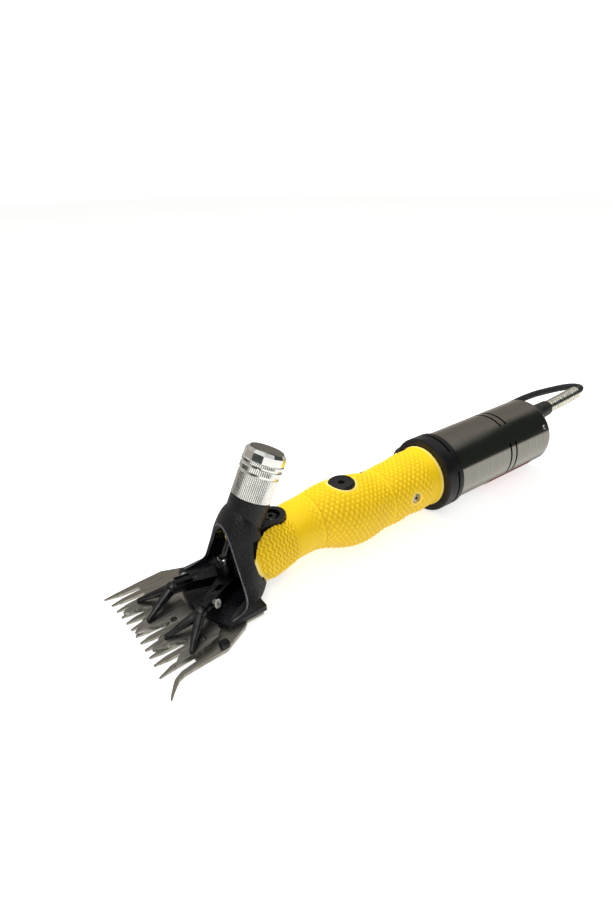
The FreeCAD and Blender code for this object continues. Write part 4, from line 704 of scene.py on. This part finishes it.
def hank_turn(sideways, height, next_sideways, next_height):
    """One turn of the hank, from the far run round the front fold, the near run and the rear fold."""
    points = []
    for share in STRAIGHT_SHARES:
        points.append((share * HALF_STRAIGHT, HANK_FOLD_RADIUS + sideways, height))
    for k in range(FOLD_POINTS):
        angle = math.pi / 2 + math.pi * (k + 0.5) / FOLD_POINTS
        radius = (HANK_FOLD_RADIUS + sideways) * FOLD_SWELL
        points.append((-HALF_STRAIGHT + radius * math.cos(angle), radius * math.sin(angle), height))
    for share in STRAIGHT_SHARES[::-1]:
        points.append((share * HALF_STRAIGHT, -HANK_FOLD_RADIUS - sideways, height))
    for k in range(FOLD_POINTS):
        angle = -math.pi / 2 + math.pi * (k + 0.5) / FOLD_POINTS
        share = (k + 0.5) / FOLD_POINTS
        radius = (HANK_FOLD_RADIUS + sideways + share * (next_sideways - sideways)) * FOLD_SWELL
        rise = height + share * (next_height - height)
        points.append((HALF_STRAIGHT + radius * math.cos(angle), radius * math.sin(angle), rise))
    return [HANK_MIDDLE + Vector(point) for point in points]


def lead_route():
    half = CORD_DIAMETER / 2
    # Sideways place and height of each turn: down the outer column, then up the inner one.
    lays = [(half, 3 * half), (half, half), (-half, half), (-half, 3 * half)]
    route = FREE_ROUTE[:-1]
    for lay, following in zip(lays, lays[1:]):
        route += hank_turn(*lay, *following)
    route += hank_turn(*lays[-1], *lays[-1])[:LAST_TURN_POINTS]
    return route + END_ROUTE[1:]


def make_lead():
    lead = tube("lead", "cord", lead_route(), CORD_DIAMETER / 2, steps_along=8, steps_around=6)
    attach(lead, "handpiece")
    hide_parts("cord", "cord_hank", "cord_end")
    return lead


lead = make_lead()


# ---- stage and lights ----------------------------------------------------------------------------
def stage_piece(name, loops, material):
    """A surface of the stage, made of strips between loops of points."""
    mesh = bpy.data.meshes.new(name)
    bm = bmesh.new()
    rows = [[bm.verts.new(point) for point in loop] for loop in loops]
    join_loops(bm, rows)
    bm.faces.new(rows[0])
    bm.to_mesh(mesh)
    bm.free()
    mesh.materials.append(material)
    piece = bpy.data.objects.new(name, mesh)
    bpy.context.scene.collection.objects.link(piece)
    piece.visible_glossy = False
    return piece


FLOOR_RADII = (1.6, 2.6)
WALL_RADII = (2.5, 2.55)
WALL_FOOT = -0.01
WALL_TOP = 4.0
STAGE_SIDES = 64


def make_stage():
    """A pale floor with a pale wall all round it. Polished parts mirror the studio instead."""
    shader = Shader("floor_pale", Roughness=0.9, Emission_Strength=0.72)
    shader.colour(shader.noise(scale=3), [(0.3, (0.55, 0.55, 0.55)), (0.8, (0.60, 0.60, 0.60))])
    turns = [2 * math.pi * k / STAGE_SIDES for k in range(STAGE_SIDES)]

    def loop(radius, height):
        return [(radius * math.cos(turn), radius * math.sin(turn), height) for turn in turns]

    stage_piece("floor", [loop(radius, 0) for radius in FLOOR_RADII], shader.material)
    wall_loops = [loop(WALL_RADII[0], WALL_FOOT), loop(WALL_RADII[1], WALL_TOP)]
    wall = stage_piece("wall", wall_loops, shader.material)
    wall.visible_diffuse = False
    wall.visible_shadow = False


# Each light's name, place, width, height and power, and whether polished parts mirror it.
LIGHTS = [
    ("key", (0.26, 0.50, 0.95), 0.35, 0.35, 10.5, False),
    ("front", (-0.5, -0.8, 0.8), 0.6, 0.5, 2.2, False),
    ("strip", (-0.25, -0.45, 0.75), 0.25, 0.5, 1.8, True),
]
LIGHT_TARGET = Vector((0.18, 0, 0.03))


def make_lights():
    for name, place, width, height, power, mirrored in LIGHTS:
        data = bpy.data.lights.new(name, "AREA")
        data.shape = "RECTANGLE"
        data.size = width
        data.size_y = height
        data.energy = power
        light = bpy.data.objects.new(name, data)
        bpy.context.scene.collection.objects.link(light)
        light.location = place
        light.rotation_euler = (LIGHT_TARGET - Vector(place)).to_track_quat("-Z", "Y").to_euler()
        light.visible_glossy = mirrored


# In front of the object the studio is dark up to a bright ceiling. Behind it, it is a warm grey.
STUDIO_FRONT = [
    (0.0, (1.10, 1.08, 1.02)), (0.03, (0.055, 0.062, 0.056)), (0.66, (0.045, 0.054, 0.046)),
    (0.84, (0.78, 0.78, 0.76)),
]
STUDIO_BACK = [
    (0.0, (0.50, 0.47, 0.42)), (0.12, (0.34, 0.315, 0.27)), (0.50, (0.38, 0.355, 0.32)),
    (0.80, (0.50, 0.48, 0.45)), (0.95, (0.80, 0.80, 0.78)),
]
HALF_BLEND = 0.12


def make_studio():
    world = bpy.data.worlds.new("studio")
    world.use_nodes = True
    bpy.context.scene.world = world
    tree = world.node_tree
    coordinates = tree.nodes.new("ShaderNodeTexCoord")
    split = tree.nodes.new("ShaderNodeSeparateXYZ")
    tree.links.new(coordinates.outputs["Generated"], split.inputs["Vector"])

    side = tree.nodes.new("ShaderNodeMapRange")
    side.inputs["From Min"].default_value = -HALF_BLEND
    side.inputs["From Max"].default_value = HALF_BLEND
    tree.links.new(split.outputs["Y"], side.inputs["Value"])
    mix = tree.nodes.new("ShaderNodeMix")
    mix.data_type = "RGBA"
    tree.links.new(side.outputs["Result"], mix.inputs["Factor"])
    for socket, stops in (("A", STUDIO_FRONT), ("B", STUDIO_BACK)):
        ramp = tree.nodes.new("ShaderNodeValToRGB")
        fill_ramp(ramp, stops)
        tree.links.new(split.outputs["Z"], ramp.inputs["Fac"])
        tree.links.new(ramp.outputs["Color"], mix.inputs[socket])
    tree.links.new(mix.outputs["Result"], tree.nodes["Background"].inputs["Color"])


make_stage()
make_lights()
make_studio()
bpy.context.scene.view_settings.view_transform = "Standard"
